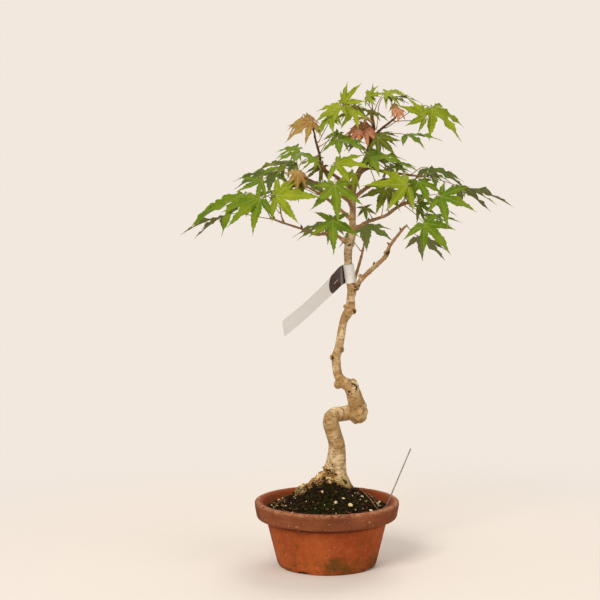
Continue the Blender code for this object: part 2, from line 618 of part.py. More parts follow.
def make_trunk():
    """Roots, trunk, branches and twigs: one piece of wood."""
    trunk = add_object("trunk", tube(tree_path(TRUNK_MIDDLE), TRUNK_SIDES), material("bark", 0.7))
    limbs = [("turn", TRUNK_TURN, TRUNK_SIDES), ("low", TRUNK_LOW, TRUNK_SIDES)]
    limbs += [(name, rows, TRUNK_SIDES) for name, rows in ROOTS.items()]
    limbs += [(name, rows, TWIG_SIDES) for name, rows in BRANCHES.items()]
    for name, rows, sides in limbs:
        boolean(trunk, add_cutter(f"limb_{name}", tube(tree_path(rows), sides)), 'UNION')
    for index, (x, y, z, radius) in enumerate(KNOBS):
        burl = knob(tree_point(x, y, z), radius * TREE_SCALE)
        boolean(trunk, add_cutter(f"knob_{index}", burl), 'UNION')
    smooth(trunk, 60)
    return trunk


# --------------------------------------------------------------------------- tag

def smooth_points(rows, steps):
    """Points on a smooth curve through the given ones."""
    ends = [rows[0] * 2 - rows[1], *rows, rows[-1] * 2 - rows[-2]]
    made = []
    for a, b, c, d in zip(ends, ends[1:], ends[2:], ends[3:]):
        for step in range(steps):
            t = step / steps
            made.append((b * 2 + (c - a) * t + (a * 2 - b * 5 + c * 4 - d) * t ** 2
                         + (b * 3 - a - c * 3 + d) * t ** 3) / 2)
    made.append(rows[-1])
    return made


def tag_line():
    """Points along the middle of the tag's strip, each with the direction across it."""
    x, y, z, girth = TAG_TURN_CENTRE
    centre = tree_point(x, y, z)
    axis = Vector(TAG_TURN_AXIS).normalized()
    turn = []
    for step in range(TAG_TURN_STEPS + 1):
        share = step / TAG_TURN_STEPS
        angle = math.radians(TAG_TURN_START + (TAG_TURN_END - TAG_TURN_START) * share)
        radius = girth * TREE_SCALE + TAG_TURN_ROOM + TAG_TURN_SPIRAL * (1 - share)
        out = Vector((math.cos(angle), math.sin(angle), 0)) * radius
        out.z = -out.dot(axis) / axis.z
        turn.append(centre + out)
    rows = [centre + Vector(place) * MM for *place, _ in TAG_TAIL] + turn[:1]
    turned = [axis.lerp(Vector(TAG_TAIL_ACROSS), twist) for *_, twist in TAG_TAIL] + [axis]
    tail = zip(smooth_points(rows, TAG_TAIL_STEPS), smooth_points(turned, TAG_TAIL_STEPS))
    return [*tail, *((point, axis) for point in turn[1:])]


def make_tag():
    """The plastic strip looped round the trunk, with its long tail hanging to the front left."""
    line = tag_line()
    body = bmesh.new()
    rings = []
    for index, (point, across) in enumerate(line):
        before, _ = line[max(index - 1, 0)]
        after, _ = line[min(index + 1, len(line) - 1)]
        out = (after - before).normalized().cross(across).normalized() * TAG_THICKNESS / 2
        half = across.normalized() * TAG_WIDTH / 2
        corners = (point + half + out, point - half + out, point - half - out, point + half - out)
        rings.append([body.verts.new(corner) for corner in corners])
    for low, high in zip(rings, rings[1:]):
        join_rings(body, low, high)
    body.faces.new(rings[0][::-1])
    body.faces.new(rings[-1])
    return add_object("plant_tag", body, material("tag", 0.4))


# --------------------------------------------------------------------------- leaves

def bezier(a, b, c, d, steps):
    """Points on a curve from a to d, with b and c as its handles."""
    for step in range(steps + 1):
        t = step / steps
        yield a * (1 - t) ** 3 + b * 3 * t * (1 - t) ** 2 + c * 3 * t * t * (1 - t) + d * t ** 3


class Blade:
    """Where the points of a lobed blade lie: its hub, its lobes' tips, and the bays between them."""

    def __init__(self, hub, aim, top, spread, seed):
        draw = random.Random(seed)
        self.hub = hub
        self.length = aim.length
        self.forward = aim.normalized()
        self.top = (top - top.project(self.forward)).normalized()
        turns = [angle * spread + draw.uniform(-LOBE_TURN_VARIES, LOBE_TURN_VARIES) for angle, _ in LOBES]
        turns[2] = 0
        shares = [share * (1 + draw.uniform(-LOBE_LENGTH_VARIES, LOBE_LENGTH_VARIES)) for _, share in LOBES]
        shares[2] = 1
        basal = min(abs(LOBES[0][0]) * spread + BASAL_TURN, BASAL_LIMIT)
        self.angles = [-basal, *turns, basal]
        self.shares = [shares[0] * BASAL_SHARE, *shares, shares[-1] * BASAL_SHARE]

    def direction(self, angle):
        """A direction in the blade, at an angle from its middle lobe."""
        return Matrix.Rotation(math.radians(angle), 3, self.top) @ self.forward

    def tip(self, index):
        """A lobe's tip, which droops more towards the sides."""
        from_middle = abs(index - 3)
        fall = math.radians(LOBE_DROOP) * from_middle / 2
        out = self.direction(self.angles[index]) * math.cos(fall) - self.top * math.sin(fall)
        return self.hub + out * self.length * self.shares[index]

    def bay(self, index):
        """The foot of the gap between a lobe and the next."""
        middle = (self.angles[index] + self.angles[index + 1]) / 2
        reach = self.length * (self.shares[index] + self.shares[index + 1]) / 2 * SINUS_SHARE
        return self.hub + self.direction(middle) * reach + self.top * self.length * SINUS_LIFT

    def widest(self, index):
        """The rib and the two margins of a lobe at its widest, folded up on both sides of the rib."""
        span = self.tip(index) - self.hub
        size = self.length * self.shares[index]
        rib = self.hub + span * LOBE_WIDEST + self.top * size * RIB_LIFT
        aside = span.cross(self.top).normalized() * size * LOBE_HALF_WIDTH
        lift = self.top * aside.length * LOBE_FOLD
        return rib, rib + aside + lift, rib - aside + lift


def leaf_shape(root, hub, aim, top, spread, seed, grow=0.0):
    """A leaf: a thin lobed blade that is thickest along its ribs, and its stalk."""
    blade = Blade(hub, aim, top, spread, seed)
    body = bmesh.new()
    collar = COLLAR_RADIUS + grow
    upper = body.verts.new(hub + blade.top * collar * COLLAR_FLATNESS)
    lower = body.verts.new(hub - blade.top * collar * COLLAR_FLATNESS)
    first = body.verts.new(hub + blade.direction(-COLLAR_ANGLE) * collar)
    last = body.verts.new(hub + blade.direction(COLLAR_ANGLE) * collar)

    half_thick = blade.top * (LEAF_THICKNESS / 2 + grow)
    outline = [first, body.verts.new(blade.tip(0)), body.verts.new(blade.bay(0))]
    fans = []
    for index in range(1, len(LOBES) + 1):
        rib, left, right = blade.widest(index)
        ring = [outline[-1]]
        ring += [body.verts.new(point) for point in (left, blade.tip(index), right, blade.bay(index))]
        ribs = [body.verts.new(rib + half_thick), body.verts.new(rib - half_thick)]
        fans.append((ribs, ring))
        outline += ring[1:]
    outline.append(body.verts.new(blade.tip(len(LOBES) + 1)))
    outline.append(last)

    for middle, side in ((upper, 0), (lower, 1)):
        for ribs, ring in fans:
            body.faces.new((middle, ring[0], ribs[side]))
            body.faces.new((middle, ribs[side], ring[-1]))
            for a, b in zip(ring, ring[1:]):
                body.faces.new((ribs[side], a, b))
        for a, b in (outline[0:2], outline[1:3], outline[-3:-1], outline[-2:]):
            body.faces.new((middle, a, b))
    add_stalk(body, blade, root, [upper, first, lower, last], grow)
    bmesh.ops.recalc_face_normals(body, faces=body.faces)
    return body


def add_stalk(body, blade, root, collar, grow):
    """Carry the collar at a blade's hub along a curve to its twig, as a stalk of four sides."""
    hub = blade.hub
    start = min((root - hub).length * STALK_LEAVES_HUB, STALK_LEAVES_HUB_LIMIT)
    handles = (hub - blade.forward * start, root + (hub - root) * STALK_MEETS_TWIG)
    curve = list(bezier(hub, *handles, root, STALK_STEPS))
    radius = LEAF_STALK_RADIUS + grow
    side = blade.direction(90)
    previous = collar
    for point, (tangent, _, _) in list(zip(curve, frames_along(curve)))[1:]:
        side = (side - side.project(tangent)).normalized()
        up = tangent.cross(side)
        if up.dot(previous[0].co - previous[2].co) < 0:
            up = -up
        if side.dot(previous[3].co - previous[1].co) < 0:
            side = -side
        ring = [body.verts.new(point + offset * radius) for offset in (up, -side, -up, side)]
        join_rings(body, previous, ring)
        previous = ring
    body.faces.new(previous)


def stalk_root(path, share, hub):
    """Where a stalk starts: just off the surface of its twig, on the side of the leaf."""
    point, radius, tangent = point_along(path, share)
    out = hub - point
    if share < 0.999:
        out = out - out.project(tangent)
    return point + out.normalized() * (radius + GAP * 2 + LEAF_STALK_RADIUS)


def nudges():
    """Small moves in mm, the least first, and forwards or backwards before sideways or up."""
    steps = range(-NUDGE_LIMIT, NUDGE_LIMIT + 1, NUDGE_STEP)
    moves = itertools.product(steps, repeat=3)
    return sorted(moves, key=lambda move: abs(move[1]) + 2 * (abs(move[0]) + abs(move[2])))


def make_leaves(others):
    """The leaves, each moved aside a little where it would touch wood, tag or another leaf."""
    bpy.context.view_layer.update()
    graph = bpy.context.evaluated_depsgraph_get()
    taken = [BVHTree.FromObject(other, graph) for other in others]
    paths = {name: tree_path(rows) for name, rows in BRANCHES.items()}
    paths["trunk"] = tree_path(TRUNK_MIDDLE)
    finishes = {tone: material(tone, 0.5) for tone in LEAF_TONES}
    moves = nudges()
    for index, (branch, share, hub, aim, top, spread, tone) in enumerate(LEAVES):
        drawn = tree_point(*hub)
        root = stalk_root(paths[branch], share, drawn)
        reach = Vector(aim) * TREE_SCALE * LEAF_SCALE
        for move in moves:
            shape = (root, drawn + Vector(move) * TREE_SCALE, reach, Vector(top), spread, index)
            roomy = leaf_shape(*shape, grow=LEAF_ROOM)
            bmesh.ops.triangulate(roomy, faces=roomy.faces)
            tree = BVHTree.FromBMesh(roomy)
            roomy.free()
            if not any(tree.overlap(other) for other in taken):
                break
        made = add_object(f"leaf_{index + 1:02d}", leaf_shape(*shape), finishes[tone])
        smooth(made, 30)
        taken.append(BVHTree.FromBMesh(triangulated(made)))


def triangulated(made):
    """An object's mesh as triangles."""
    body = bmesh.new()
    body.from_mesh(made.data)
    bmesh.ops.triangulate(body, faces=body.faces)
    return body


def main():
    clear_scene()
    make_pot()
    make_drain_meshes()
    make_soil()
    make_grit()
    make_pin()
    trunk = make_trunk()
    tag = make_tag()
    make_leaves([trunk, tag, bpy.data.objects["wire_pin"]])


main()
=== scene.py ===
"""Potted bonsai maple: the fine surfaces and finishes of the pot, soil, wood, leaves, tag and wire pin.

Metres, +Z up. Every piece is made where its solid in the frame is, so nothing is fitted afterwards.
"""

import json
import math
import random

import bmesh
import bpy
from bpy.props import FloatProperty, FloatVectorProperty, IntProperty, PointerProperty
from mathutils import Matrix, Vector, noise
from mathutils.kdtree import KDTree


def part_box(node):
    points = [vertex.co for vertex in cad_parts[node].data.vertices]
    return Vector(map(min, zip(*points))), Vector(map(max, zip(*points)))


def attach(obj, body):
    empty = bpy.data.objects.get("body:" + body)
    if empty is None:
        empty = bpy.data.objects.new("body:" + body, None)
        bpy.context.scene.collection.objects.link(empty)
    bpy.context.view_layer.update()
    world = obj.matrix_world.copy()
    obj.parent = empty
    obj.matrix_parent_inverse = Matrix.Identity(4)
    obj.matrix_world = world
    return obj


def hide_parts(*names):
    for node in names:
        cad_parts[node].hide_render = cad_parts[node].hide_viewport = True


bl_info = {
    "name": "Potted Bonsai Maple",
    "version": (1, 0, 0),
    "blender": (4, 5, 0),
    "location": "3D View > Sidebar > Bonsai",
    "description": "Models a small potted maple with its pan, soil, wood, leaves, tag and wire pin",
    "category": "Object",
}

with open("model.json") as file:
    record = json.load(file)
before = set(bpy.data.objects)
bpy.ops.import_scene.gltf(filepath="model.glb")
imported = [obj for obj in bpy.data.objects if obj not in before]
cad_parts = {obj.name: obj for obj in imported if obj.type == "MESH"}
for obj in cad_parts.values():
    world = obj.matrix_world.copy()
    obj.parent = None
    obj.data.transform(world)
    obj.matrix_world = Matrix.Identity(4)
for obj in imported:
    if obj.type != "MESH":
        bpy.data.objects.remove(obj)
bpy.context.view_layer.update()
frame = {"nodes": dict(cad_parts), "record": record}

MM = 0.001
POT_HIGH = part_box("pot")[1]
SOIL_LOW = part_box("soil")[0]
WOOD_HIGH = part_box("trunk")[1]
PIN_LOW, PIN_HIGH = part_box("wire_pin")
RIM_TOP = POT_HIGH.z
SLOTS = {part["node"]: part["material_slot"] for part in frame["record"]["subparts"]}
LEAF_NODES, GRIT_NODES, DRAIN_NODES = (sorted(name for name in SLOTS if name.startswith(kind))
                                       for kind in ("leaf_", "grit_", "drain_mesh_"))


# --------------------------------------------------------------------------- settings

def length(name, description, default):
    """A size in metres that a user may change."""
    return FloatProperty(name=name, description=description, default=default, min=0, precision=4,
                         unit='LENGTH')


def share(name, description, default):
    """A plain number that a user may change."""
    return FloatProperty(name=name, description=description, default=default, min=0)


def count(name, description, default):
    """How many of something are made."""
    return IntProperty(name=name, description=description, default=default, min=0)


def colour(name, description, rgb):
    """A colour that a user may change."""
    return FloatVectorProperty(name=name, description=description, default=(*rgb, 1), size=4, min=0, max=1,
                               subtype='COLOR')


class BonsaiPot(bpy.types.PropertyGroup):
    """Sizes and colours of the pan."""
    rim_wall: length("Rim wall", "Thickness of the wall at the rim", 0.0085)
    band: length("Rim band", "Height of the thick band at the rim", 0.0195)
    taper: length("Rim taper", "How much narrower the band is at its foot", 0.0025)
    overhang: length("Overhang", "How far the band stands out from the body", 0.0137)
    foot: length("Foot radius", "Radius of the pan at its foot", 0.054)
    wall: length("Body wall", "Thickness of the body's wall", 0.0070)
    floor: length("Floor", "Thickness of the floor", 0.0085)
    undercut: length("Undercut", "Depth of the line under the band", 0.0012)
    groove_width: length("Groove width", "Width of a drain groove", 0.018)
    groove_depth: length("Groove depth", "Depth of a drain groove", 0.0030)
    groove_slope: length("Groove slope", "How far a groove's sides slope in", 0.0040)
    groove_start: length("Groove start", "Where a groove starts, from the pan's axis", 0.0205)
    drain_place: length("Drain place", "Distance of a drain hole from the pan's axis", 0.030)
    drain_radius: length("Drain radius", "Radius of a drain hole", 0.0055)
    clay: colour("Clay", "Fired clay of the body", (0.385, 0.086, 0.020))
    clay_deep: colour("Deep clay", "Redder patches of the body", (0.290, 0.052, 0.013))
    rim_clay: colour("Rim clay", "Weathered clay of the rim band", (0.215, 0.060, 0.023))
    worn: colour("Worn edge", "Rubbed edges and mineral bloom", (0.46, 0.215, 0.110))
    stain: colour("Stain", "Damp, greenish stains low on the body", (0.070, 0.045, 0.005))


class BonsaiSoil(bpy.types.PropertyGroup):
    """Sizes and colours of the soil and what lies on it."""
    drop: length("Drop", "Depth of the soil's edge under the rim", 0.0085)
    heap: length("Heap", "Height of the heap against the trunk", 0.0315)
    reach: length("Heap reach", "Radius of the heap", 0.078)
    middle_x: FloatProperty(name="Heap X", description="Middle of the heap, X", default=0.003, unit='LENGTH')
    middle_y: FloatProperty(name="Heap Y", description="Middle of the heap, Y", default=-0.002, unit='LENGTH')
    lump: length("Lumps", "Height of the soil's lumps", 0.0013)
    crumbs: count("Crumbs", "Loose crumbs of soil", 700)
    chips: count("Chips", "Small pale chips of grit", 115)
    bark: count("Bark chips", "Brown chips of bark", 130)
    tufts: count("Tufts", "Tufts of moss", 150)
    earth: colour("Earth", "Damp soil", (0.012, 0.006, 0.002))
    earth_light: colour("Light earth", "Drier crumbs", (0.125, 0.062, 0.022))
    moss: colour("Moss", "Moss on the soil", (0.020, 0.027, 0.002))
    chip: colour("Chip", "Pale grit", (0.60, 0.45, 0.17))
    needle: colour("Needle", "Dry needles", (0.22, 0.060, 0.020))


class BonsaiWood(bpy.types.PropertyGroup):
    """Surface and colours of the wood."""
    voxel: length("Grain", "Size of the facets that the limbs are blended with", 0.00062)
    kept: share("Kept facets", "Share of the facets kept once the relief is made", 0.67)
    ripple: length("Ripple", "Height of the rings on the bark", 0.00022)
    bark: colour("Bark", "Smooth young bark", (0.400, 0.245, 0.105))
    bark_light: colour("Light bark", "Pale patches of the bark", (0.730, 0.535, 0.310))
    bark_ring: colour("Ring", "Rings and creases in the bark", (0.150, 0.070, 0.020))
    scar: colour("Scar", "Dark knots and buds", (0.035, 0.016, 0.007))
    twig: colour("Twig", "Bark of the thin twigs", (0.270, 0.125, 0.045))
    damp: colour("Damp bark", "Rough bark at the soil", (0.180, 0.065, 0.020))


class BonsaiLeaves(bpy.types.PropertyGroup):
    """Surface and colours of the leaves."""
    thick: length("Thickness", "Thickness of a blade", 0.00030)
    tooth: share("Teeth", "Depth of the margin's teeth, as a share of a lobe", 0.030)
    wave: share("Wave", "Height of the margin's waves, as a share of its width", 0.36)
    stalk: length("Stalk radius", "Radius of a leaf's stalk", 0.00046)
    stalk_colour: colour("Stalk", "Leaf stalks", (0.22, 0.085, 0.030))


class BonsaiTag(bpy.types.PropertyGroup):
    """Sizes and colours of the tag."""
    thick: length("Thickness", "Thickness of the strip", 0.00040)
    head_start: length("Head start", "Where the dark head starts, from the tail's end", 0.089)
    head_end: length("Head end", "Where the dark head ends", 0.133)
    plastic: colour("Plastic", "The pale strip", (0.90, 0.86, 0.80))
    print_dark: colour("Dark print", "The printed head", (0.045, 0.016, 0.010))
    print_pale: colour("Pale print", "The stripes beside the head", (0.62, 0.50, 0.47))


class BonsaiPin(bpy.types.PropertyGroup):
    """Size and colour of the wire pin."""
    radius: length("Radius", "Radius of the wire", 0.00075)
    wire: colour("Wire", "Dull wire", (0.46, 0.43, 0.37))


class BonsaiStage(bpy.types.PropertyGroup):
    """The floor, the light and the camera."""
    wall: colour("Wall", "Pale surroundings", (0.888, 0.807, 0.730))
    floor: colour("Floor", "Pale floor", (0.760, 0.690, 0.625))
    ambient: share("Ambient", "Strength of the light from all round", 0.50)
    key: share("Key", "Power of the key light in watts", 62)
    lens: FloatProperty(name="Lens", description="Focal length in mm", default=118.4, min=1)
    pitch: FloatProperty(name="Pitch", description="How far the camera looks down", default=math.radians(6.4),
                         subtype='ANGLE')


class BonsaiSettings(bpy.types.PropertyGroup):
    """All that a user may change."""
    pot: PointerProperty(type=BonsaiPot)
    soil: PointerProperty(type=BonsaiSoil)
    wood: PointerProperty(type=BonsaiWood)
    leaves: PointerProperty(type=BonsaiLeaves)
    tag: PointerProperty(type=BonsaiTag)
    pin: PointerProperty(type=BonsaiPin)
    stage: PointerProperty(type=BonsaiStage)


# --------------------------------------------------------------------------- working on objects

def choose(*pieces):
    """Select only these objects, the first of them active."""
    bpy.ops.object.select_all(action='DESELECT')
    for piece in pieces:
        piece.select_set(True)
    bpy.context.view_layer.objects.active = pieces[0]


def added(name):
    """Name the object that an operator has just added."""
    piece = bpy.context.object
    piece.name = name
    piece.data.name = name
    return piece


def primitive(add, name, **values):
    """Add an object with an operator and name it."""
    bpy.ops.object.select_all(action='DESELECT')
    add(**values)
    return added(name)


def settle(piece):
    """Put a piece's place, turn and size into its mesh."""
    choose(piece)
    bpy.ops.object.transform_apply(location=True, rotation=True, scale=True)


def modify(piece, kind, **values):
    """Add a modifier to a piece and apply it."""
    choose(piece)
    bpy.ops.object.modifier_add(type=kind)
    change = piece.modifiers[-1]
    for name, value in values.items():
        setattr(change, name, value)
    bpy.ops.object.modifier_apply(modifier=change.name)


def merge(piece, distance=0.00001):
    """Weld a piece's loose faces and turn them all outwards."""
    choose(piece)
    bpy.ops.object.mode_set(mode='EDIT')
    bpy.ops.mesh.select_all(action='SELECT')
    bpy.ops.mesh.remove_doubles(threshold=distance)
    bpy.ops.mesh.normals_make_consistent(inside=False)
    bpy.ops.object.mode_set(mode='OBJECT')


def joined(name, pieces):
    """Join several objects into one."""
    choose(*pieces)
    if len(pieces) > 1:
        bpy.ops.object.join()
    return added(name)


def linked_in(name, mesh):
    """Make an object of a mesh and put it in the scene."""
    piece = bpy.data.objects.new(name, mesh)
    bpy.context.scene.collection.objects.link(piece)
    return piece


def from_body(name, body):
    """Make an object of a bmesh."""
    mesh = bpy.data.meshes.new(name)
    body.to_mesh(mesh)
    body.free()
    return linked_in(name, mesh)


def remove(piece):
    """Delete a helper object."""
    bpy.data.objects.remove(piece, do_unlink=True)


def smooth(piece, angle=40):
    """Shade a piece smooth, with corners sharper than the angle kept."""
    choose(piece)
    bpy.ops.object.shade_smooth_by_angle(angle=math.radians(angle))


def finish_piece(piece, slot, finishes, *nodes):
    """Give a piece its materials and its place in the frame."""
    if finishes:
        piece.data.materials.clear()
        for finish in finishes:
            piece.data.materials.append(finish)
    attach(piece, "root")
    if nodes:
        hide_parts(*nodes)


def copy_of(node, name):
    """A welded copy of a node of the frame."""
    piece = frame["nodes"][node].copy()
    piece.data = piece.data.copy()
    piece.name = name
    piece.parent = None
    bpy.context.scene.collection.objects.link(piece)
    for key in list(piece.keys()):
        del piece[key]
    merge(piece)
    return piece


# --------------------------------------------------------------------------- material nodes

class Nodes:
    """Puts nodes into the node tree of a material or of the world."""

    def __init__(self, owner):
        owner.use_nodes = True
        self.tree = owner.node_tree
        self.tree.nodes.clear()

    def put(self, kind, inputs=None, **settings):
        """Add a node, with its inputs set or linked."""
        made = self.tree.nodes.new("ShaderNode" + kind)
        for name, value in settings.items():
            setattr(made, name, value)
        for key, value in (inputs or {}).items():
            if isinstance(value, bpy.types.NodeSocket):
                self.tree.links.new(value, made.inputs[key])
            else:
                made.inputs[key].default_value = value
        return made

    def mix(self, factor, first, second):
        """Blend two colours."""
        return self.put("Mix", {0: factor, 6: first, 7: second}, data_type='RGBA').outputs[2]

    def sums(self, operation, first, second=0.0):
        """One step of arithmetic."""
        return self.put("Math", {0: first, 1: second}, operation=operation).outputs[0]

    def times(self, first, second):
        """A product."""
        return self.sums('MULTIPLY', first, second)

    def plus(self, first, second):
        """A sum."""
        return self.sums('ADD', first, second)

    def minus(self, first, second):
        """A difference."""
        return self.sums('SUBTRACT', first, second)

    def size(self, value):
        """A value without its sign."""
        return self.sums('ABSOLUTE', value)

    def between(self, value, low, high, start=0.0, end=1.0):
        """Rise smoothly from start to end as a value goes from low to high."""
        made = self.put("MapRange", {"Value": value, "From Min": low, "From Max": high, "To Min": start,
                                     "To Max": end}, interpolation_type='SMOOTHSTEP')
        return made.outputs["Result"]

    def place(self):
        """Coordinates fixed to the piece, in metres."""
        return self.put("TexCoord").outputs["Object"]

    def split(self, vector):
        """The parts of a vector."""
        return self.put("SeparateXYZ", {0: vector}).outputs

    def mapped(self, name):
        """The parts of a piece's own map."""
        return self.split(self.put("UVMap", uv_map=name).outputs["UV"])

    def noted(self, name):
        """A number that was noted on each point of the piece."""
        return self.put("Attribute", attribute_name=name).outputs["Fac"]

    def speckle(self, where, scale, detail=4.0, roughness=0.55, distortion=0.0):
        """Soft noise from 0 to 1."""
        made = self.put("TexNoise", {"Vector": where, "Scale": scale, "Detail": detail,
                                     "Roughness": roughness, "Distortion": distortion})
        return made.outputs["Fac"]

    def cells(self, where, scale):
        """Distance to the nearest of many scattered points."""
        return self.put("TexVoronoi", {"Vector": where, "Scale": scale}).outputs["Distance"]

    def raised(self, height, distance, strength=1.0, under=None):
        """A bump from a height in 0 to 1."""
        inputs = {"Height": height, "Distance": distance, "Strength": strength}
        if under:
            inputs["Normal"] = under
        return self.put("Bump", inputs).outputs["Normal"]

    def painted(self, base, roughness, normal=None, specular=0.5, metallic=0.0):
        """A Principled shader."""
        inputs = {"Base Color": base, "Roughness": roughness, "Specular IOR Level": specular,
                  "Metallic": metallic}
        if normal:
            inputs["Normal"] = normal
        return self.put("BsdfPrincipled", inputs).outputs["BSDF"]

    def close(self, shader):
        """Send a shader to the material's output."""
        self.put("OutputMaterial", {"Surface": shader})


def new_finish(name):
    """An empty node material."""
    finish = bpy.data.materials.new(name)
    return finish, Nodes(finish)


def speckled(name, scale, detail, steps, first, second, roughness, bump=None, specular=0.5):
    """A finish of two colours, speckled and rough."""
    finish, n = new_finish(name)
    fine = n.speckle(n.place(), scale, detail)
    tone = n.mix(n.between(fine, *steps) if steps else fine, first, second)
    relief = n.raised(fine, *bump) if bump else None
    n.close(n.painted(tone, roughness, relief, specular))
    return finish


# --------------------------------------------------------------------------- shapes

def held(value):
    """A value kept between 0 and 1."""
    return max(0, min(1, value))


def spline(rows, step):
    """Points on a smooth curve through rows of numbers, about a step apart in their first three."""
    ends = [[2 * a - b for a, b in zip(rows[0], rows[1])], *rows,
            [2 * a - b for a, b in zip(rows[-1], rows[-2])]]
    made = []
    for a, b, c, d in zip(ends, ends[1:], ends[2:], ends[3:]):
        parts = max(1, round(math.dist(b[:3], c[:3]) / step))
        for part in range(parts):
            t = part / parts
            made.append([(2 * q + (r - p) * t + (2 * p - 5 * q + 4 * r - s) * t ** 2
                          + (3 * q - p - 3 * r + s) * t ** 3) / 2 for p, q, r, s in zip(a, b, c, d)])
    made.append(list(rows[-1]))
    return made


def tube_into(body, points, radii, sides, index=0):
    """Add a closed round tube to a bmesh, along points with a radius each."""
    rings = []
    side = None
    for at, (point, radius) in enumerate(zip(points, radii)):
        tangent = (points[min(at + 1, len(points) - 1)] - points[max(at - 1, 0)]).normalized()
        side = tangent.orthogonal() if side is None else side - side.project(tangent)
        side.normalize()
        up = tangent.cross(side)
        turns = [math.tau * part / sides for part in range(sides)]
        rings.append([body.verts.new(point + (side * math.cos(a) + up * math.sin(a)) * radius)
                      for a in turns])
    loops = []
    for low, high in zip(rings, rings[1:]):
        for part in range(sides):
            after = (part + 1) % sides
            loops.append((low[part], low[after], high[after], high[part]))
    for loop in (*loops, rings[0][::-1], rings[-1]):
        face = body.faces.new(loop)
        face.material_index = index
        face.smooth = True


# --------------------------------------------------------------------------- stage

# Soft boxes: name, place, size, share of the key light's power, and colour
LIGHTS = (("key", (-1.0, -2.1, 1.9), 1.1, 1, (1.0, 0.965, 0.91)),
          ("fill", (1.7, -1.3, 1.0), 1.5, 0.16, (1.0, 0.98, 0.95)),
          ("back", (0.5, 1.6, 1.9), 1.6, 0.42, (1.0, 0.98, 0.94)))
# Colour of the light from all sides, and where the camera stands
AMBIENT_TINT = (1.0, 0.96, 0.92, 1)
CAMERA_PLACE = (-0.030, -2.1614, 0.53984)


class BONSAI_OT_stage(bpy.types.Operator):
    """Lay the floor, set the lights and place the camera"""
    bl_idname = "bonsai.stage"
    bl_label = "Stage"

    def execute(self, context):
        wanted = context.scene.bonsai.stage
        floor = primitive(bpy.ops.mesh.primitive_circle_add, "floor", vertices=96, radius=6.0,
                          fill_type='NGON', location=(0, 0, 0))
        floor.data.materials.append(floor_finish(wanted.floor))

        world = context.scene.world or bpy.data.worlds.new("surroundings")
        context.scene.world = world
        n = Nodes(world)
        seen = n.put("Background", {"Color": wanted.wall, "Strength": 1.0}).outputs[0]
        light = n.put("Background", {"Color": AMBIENT_TINT, "Strength": wanted.ambient}).outputs[0]
        straight = n.put("LightPath").outputs["Is Camera Ray"]
        both = n.put("MixShader", {0: straight, 1: light, 2: seen}).outputs[0]
        n.put("OutputWorld", {"Surface": both})

        for name, location, size, power, rgb in LIGHTS:
            soft_box(name, location, size, wanted.key * power, rgb)

        bpy.ops.object.camera_add(location=CAMERA_PLACE, rotation=(math.pi / 2 - wanted.pitch, 0, 0))
        camera = added("camera")
        camera.data.lens = wanted.lens
        camera.data.sensor_width = 36
        camera.data.clip_end = 30
        context.scene.camera = camera
        context.scene.view_settings.view_transform = 'Standard'
        return {'FINISHED'}


def soft_box(name, location, size, power, rgb):
    """A square soft box that faces the tree."""
    bpy.ops.object.light_add(type='AREA', location=location)
    lamp = added(name)
    middle = Vector((0, 0, (RIM_TOP + WOOD_HIGH.z) / 2))
    lamp.rotation_euler = (middle - Vector(location)).to_track_quat('-Z', 'Y').to_euler()
    lamp.data.size = size
    lamp.data.energy = power
    lamp.data.color = rgb


def floor_finish(shade):
    """A matt floor that fades into the surroundings."""
    finish, n = new_finish("floor")
    where = n.place()
    reach = n.put("VectorMath", {0: where}, operation='LENGTH').outputs["Value"]
    fade = n.between(reach, 0.16, 0.75)
    grain = n.speckle(where, 90.0)
    tone = n.mix(grain, shade, (shade[0] * 0.985, shade[1] * 0.985, shade[2] * 0.98, 1))
    solid = n.painted(tone, 0.9, specular=0.0)
    clear = n.put("BsdfTransparent").outputs["BSDF"]
    n.close(n.put("MixShader", {0: fade, 1: solid, 2: clear}).outputs[0])
    return finish


# --------------------------------------------------------------------------- pot

def rounded(corners, steps=5):
    """A profile whose corners (radius, height, rounding) are turned into arcs."""
    made = []
    for at, (x, z, soft) in enumerate(corners):
        here = Vector((x, z))
        if soft == 0 or at in (0, len(corners) - 1):
            made.append(here)
            continue
        before = Vector(corners[at - 1][:2]) - here
        after = Vector(corners[at + 1][:2]) - here
        reach = min(soft, before.length * 0.48, after.length * 0.48)
        start = here + before.normalized() * reach
        end = here + after.normalized() * reach
        for step in range(steps + 1):
            t = step / steps
            made.append(start * (1 - t) ** 2 + here * 2 * t * (1 - t) + end * t ** 2)
    return made


def filled_in(points, step):
    """More points along the straight runs of a profile, so that its surface can be shaped."""
    made = [points[0]]
    for a, b in zip(points, points[1:]):
        parts = max(1, round((b - a).length / step))
        made += [a.lerp(b, part / parts) for part in range(1, parts + 1)]
    return made


def spun(name, profile, steps):
    """Turn a profile of (radius, height) round the Z axis."""
    mesh = bpy.data.meshes.new(name)
    lines = [(at, at + 1) for at in range(len(profile) - 1)]
    mesh.from_pydata([(point.x, 0, point.y) for point in profile], lines, [])
    piece = linked_in(name, mesh)
    choose(piece)
    bpy.ops.object.mode_set(mode='EDIT')
    bpy.ops.mesh.select_all(action='SELECT')
    bpy.ops.mesh.spin(steps=steps, angle=math.tau, center=(0, 0, 0), axis=(0, 0, 1))
    bpy.ops.object.mode_set(mode='OBJECT')
    merge(piece, 0.00002)
    return piece


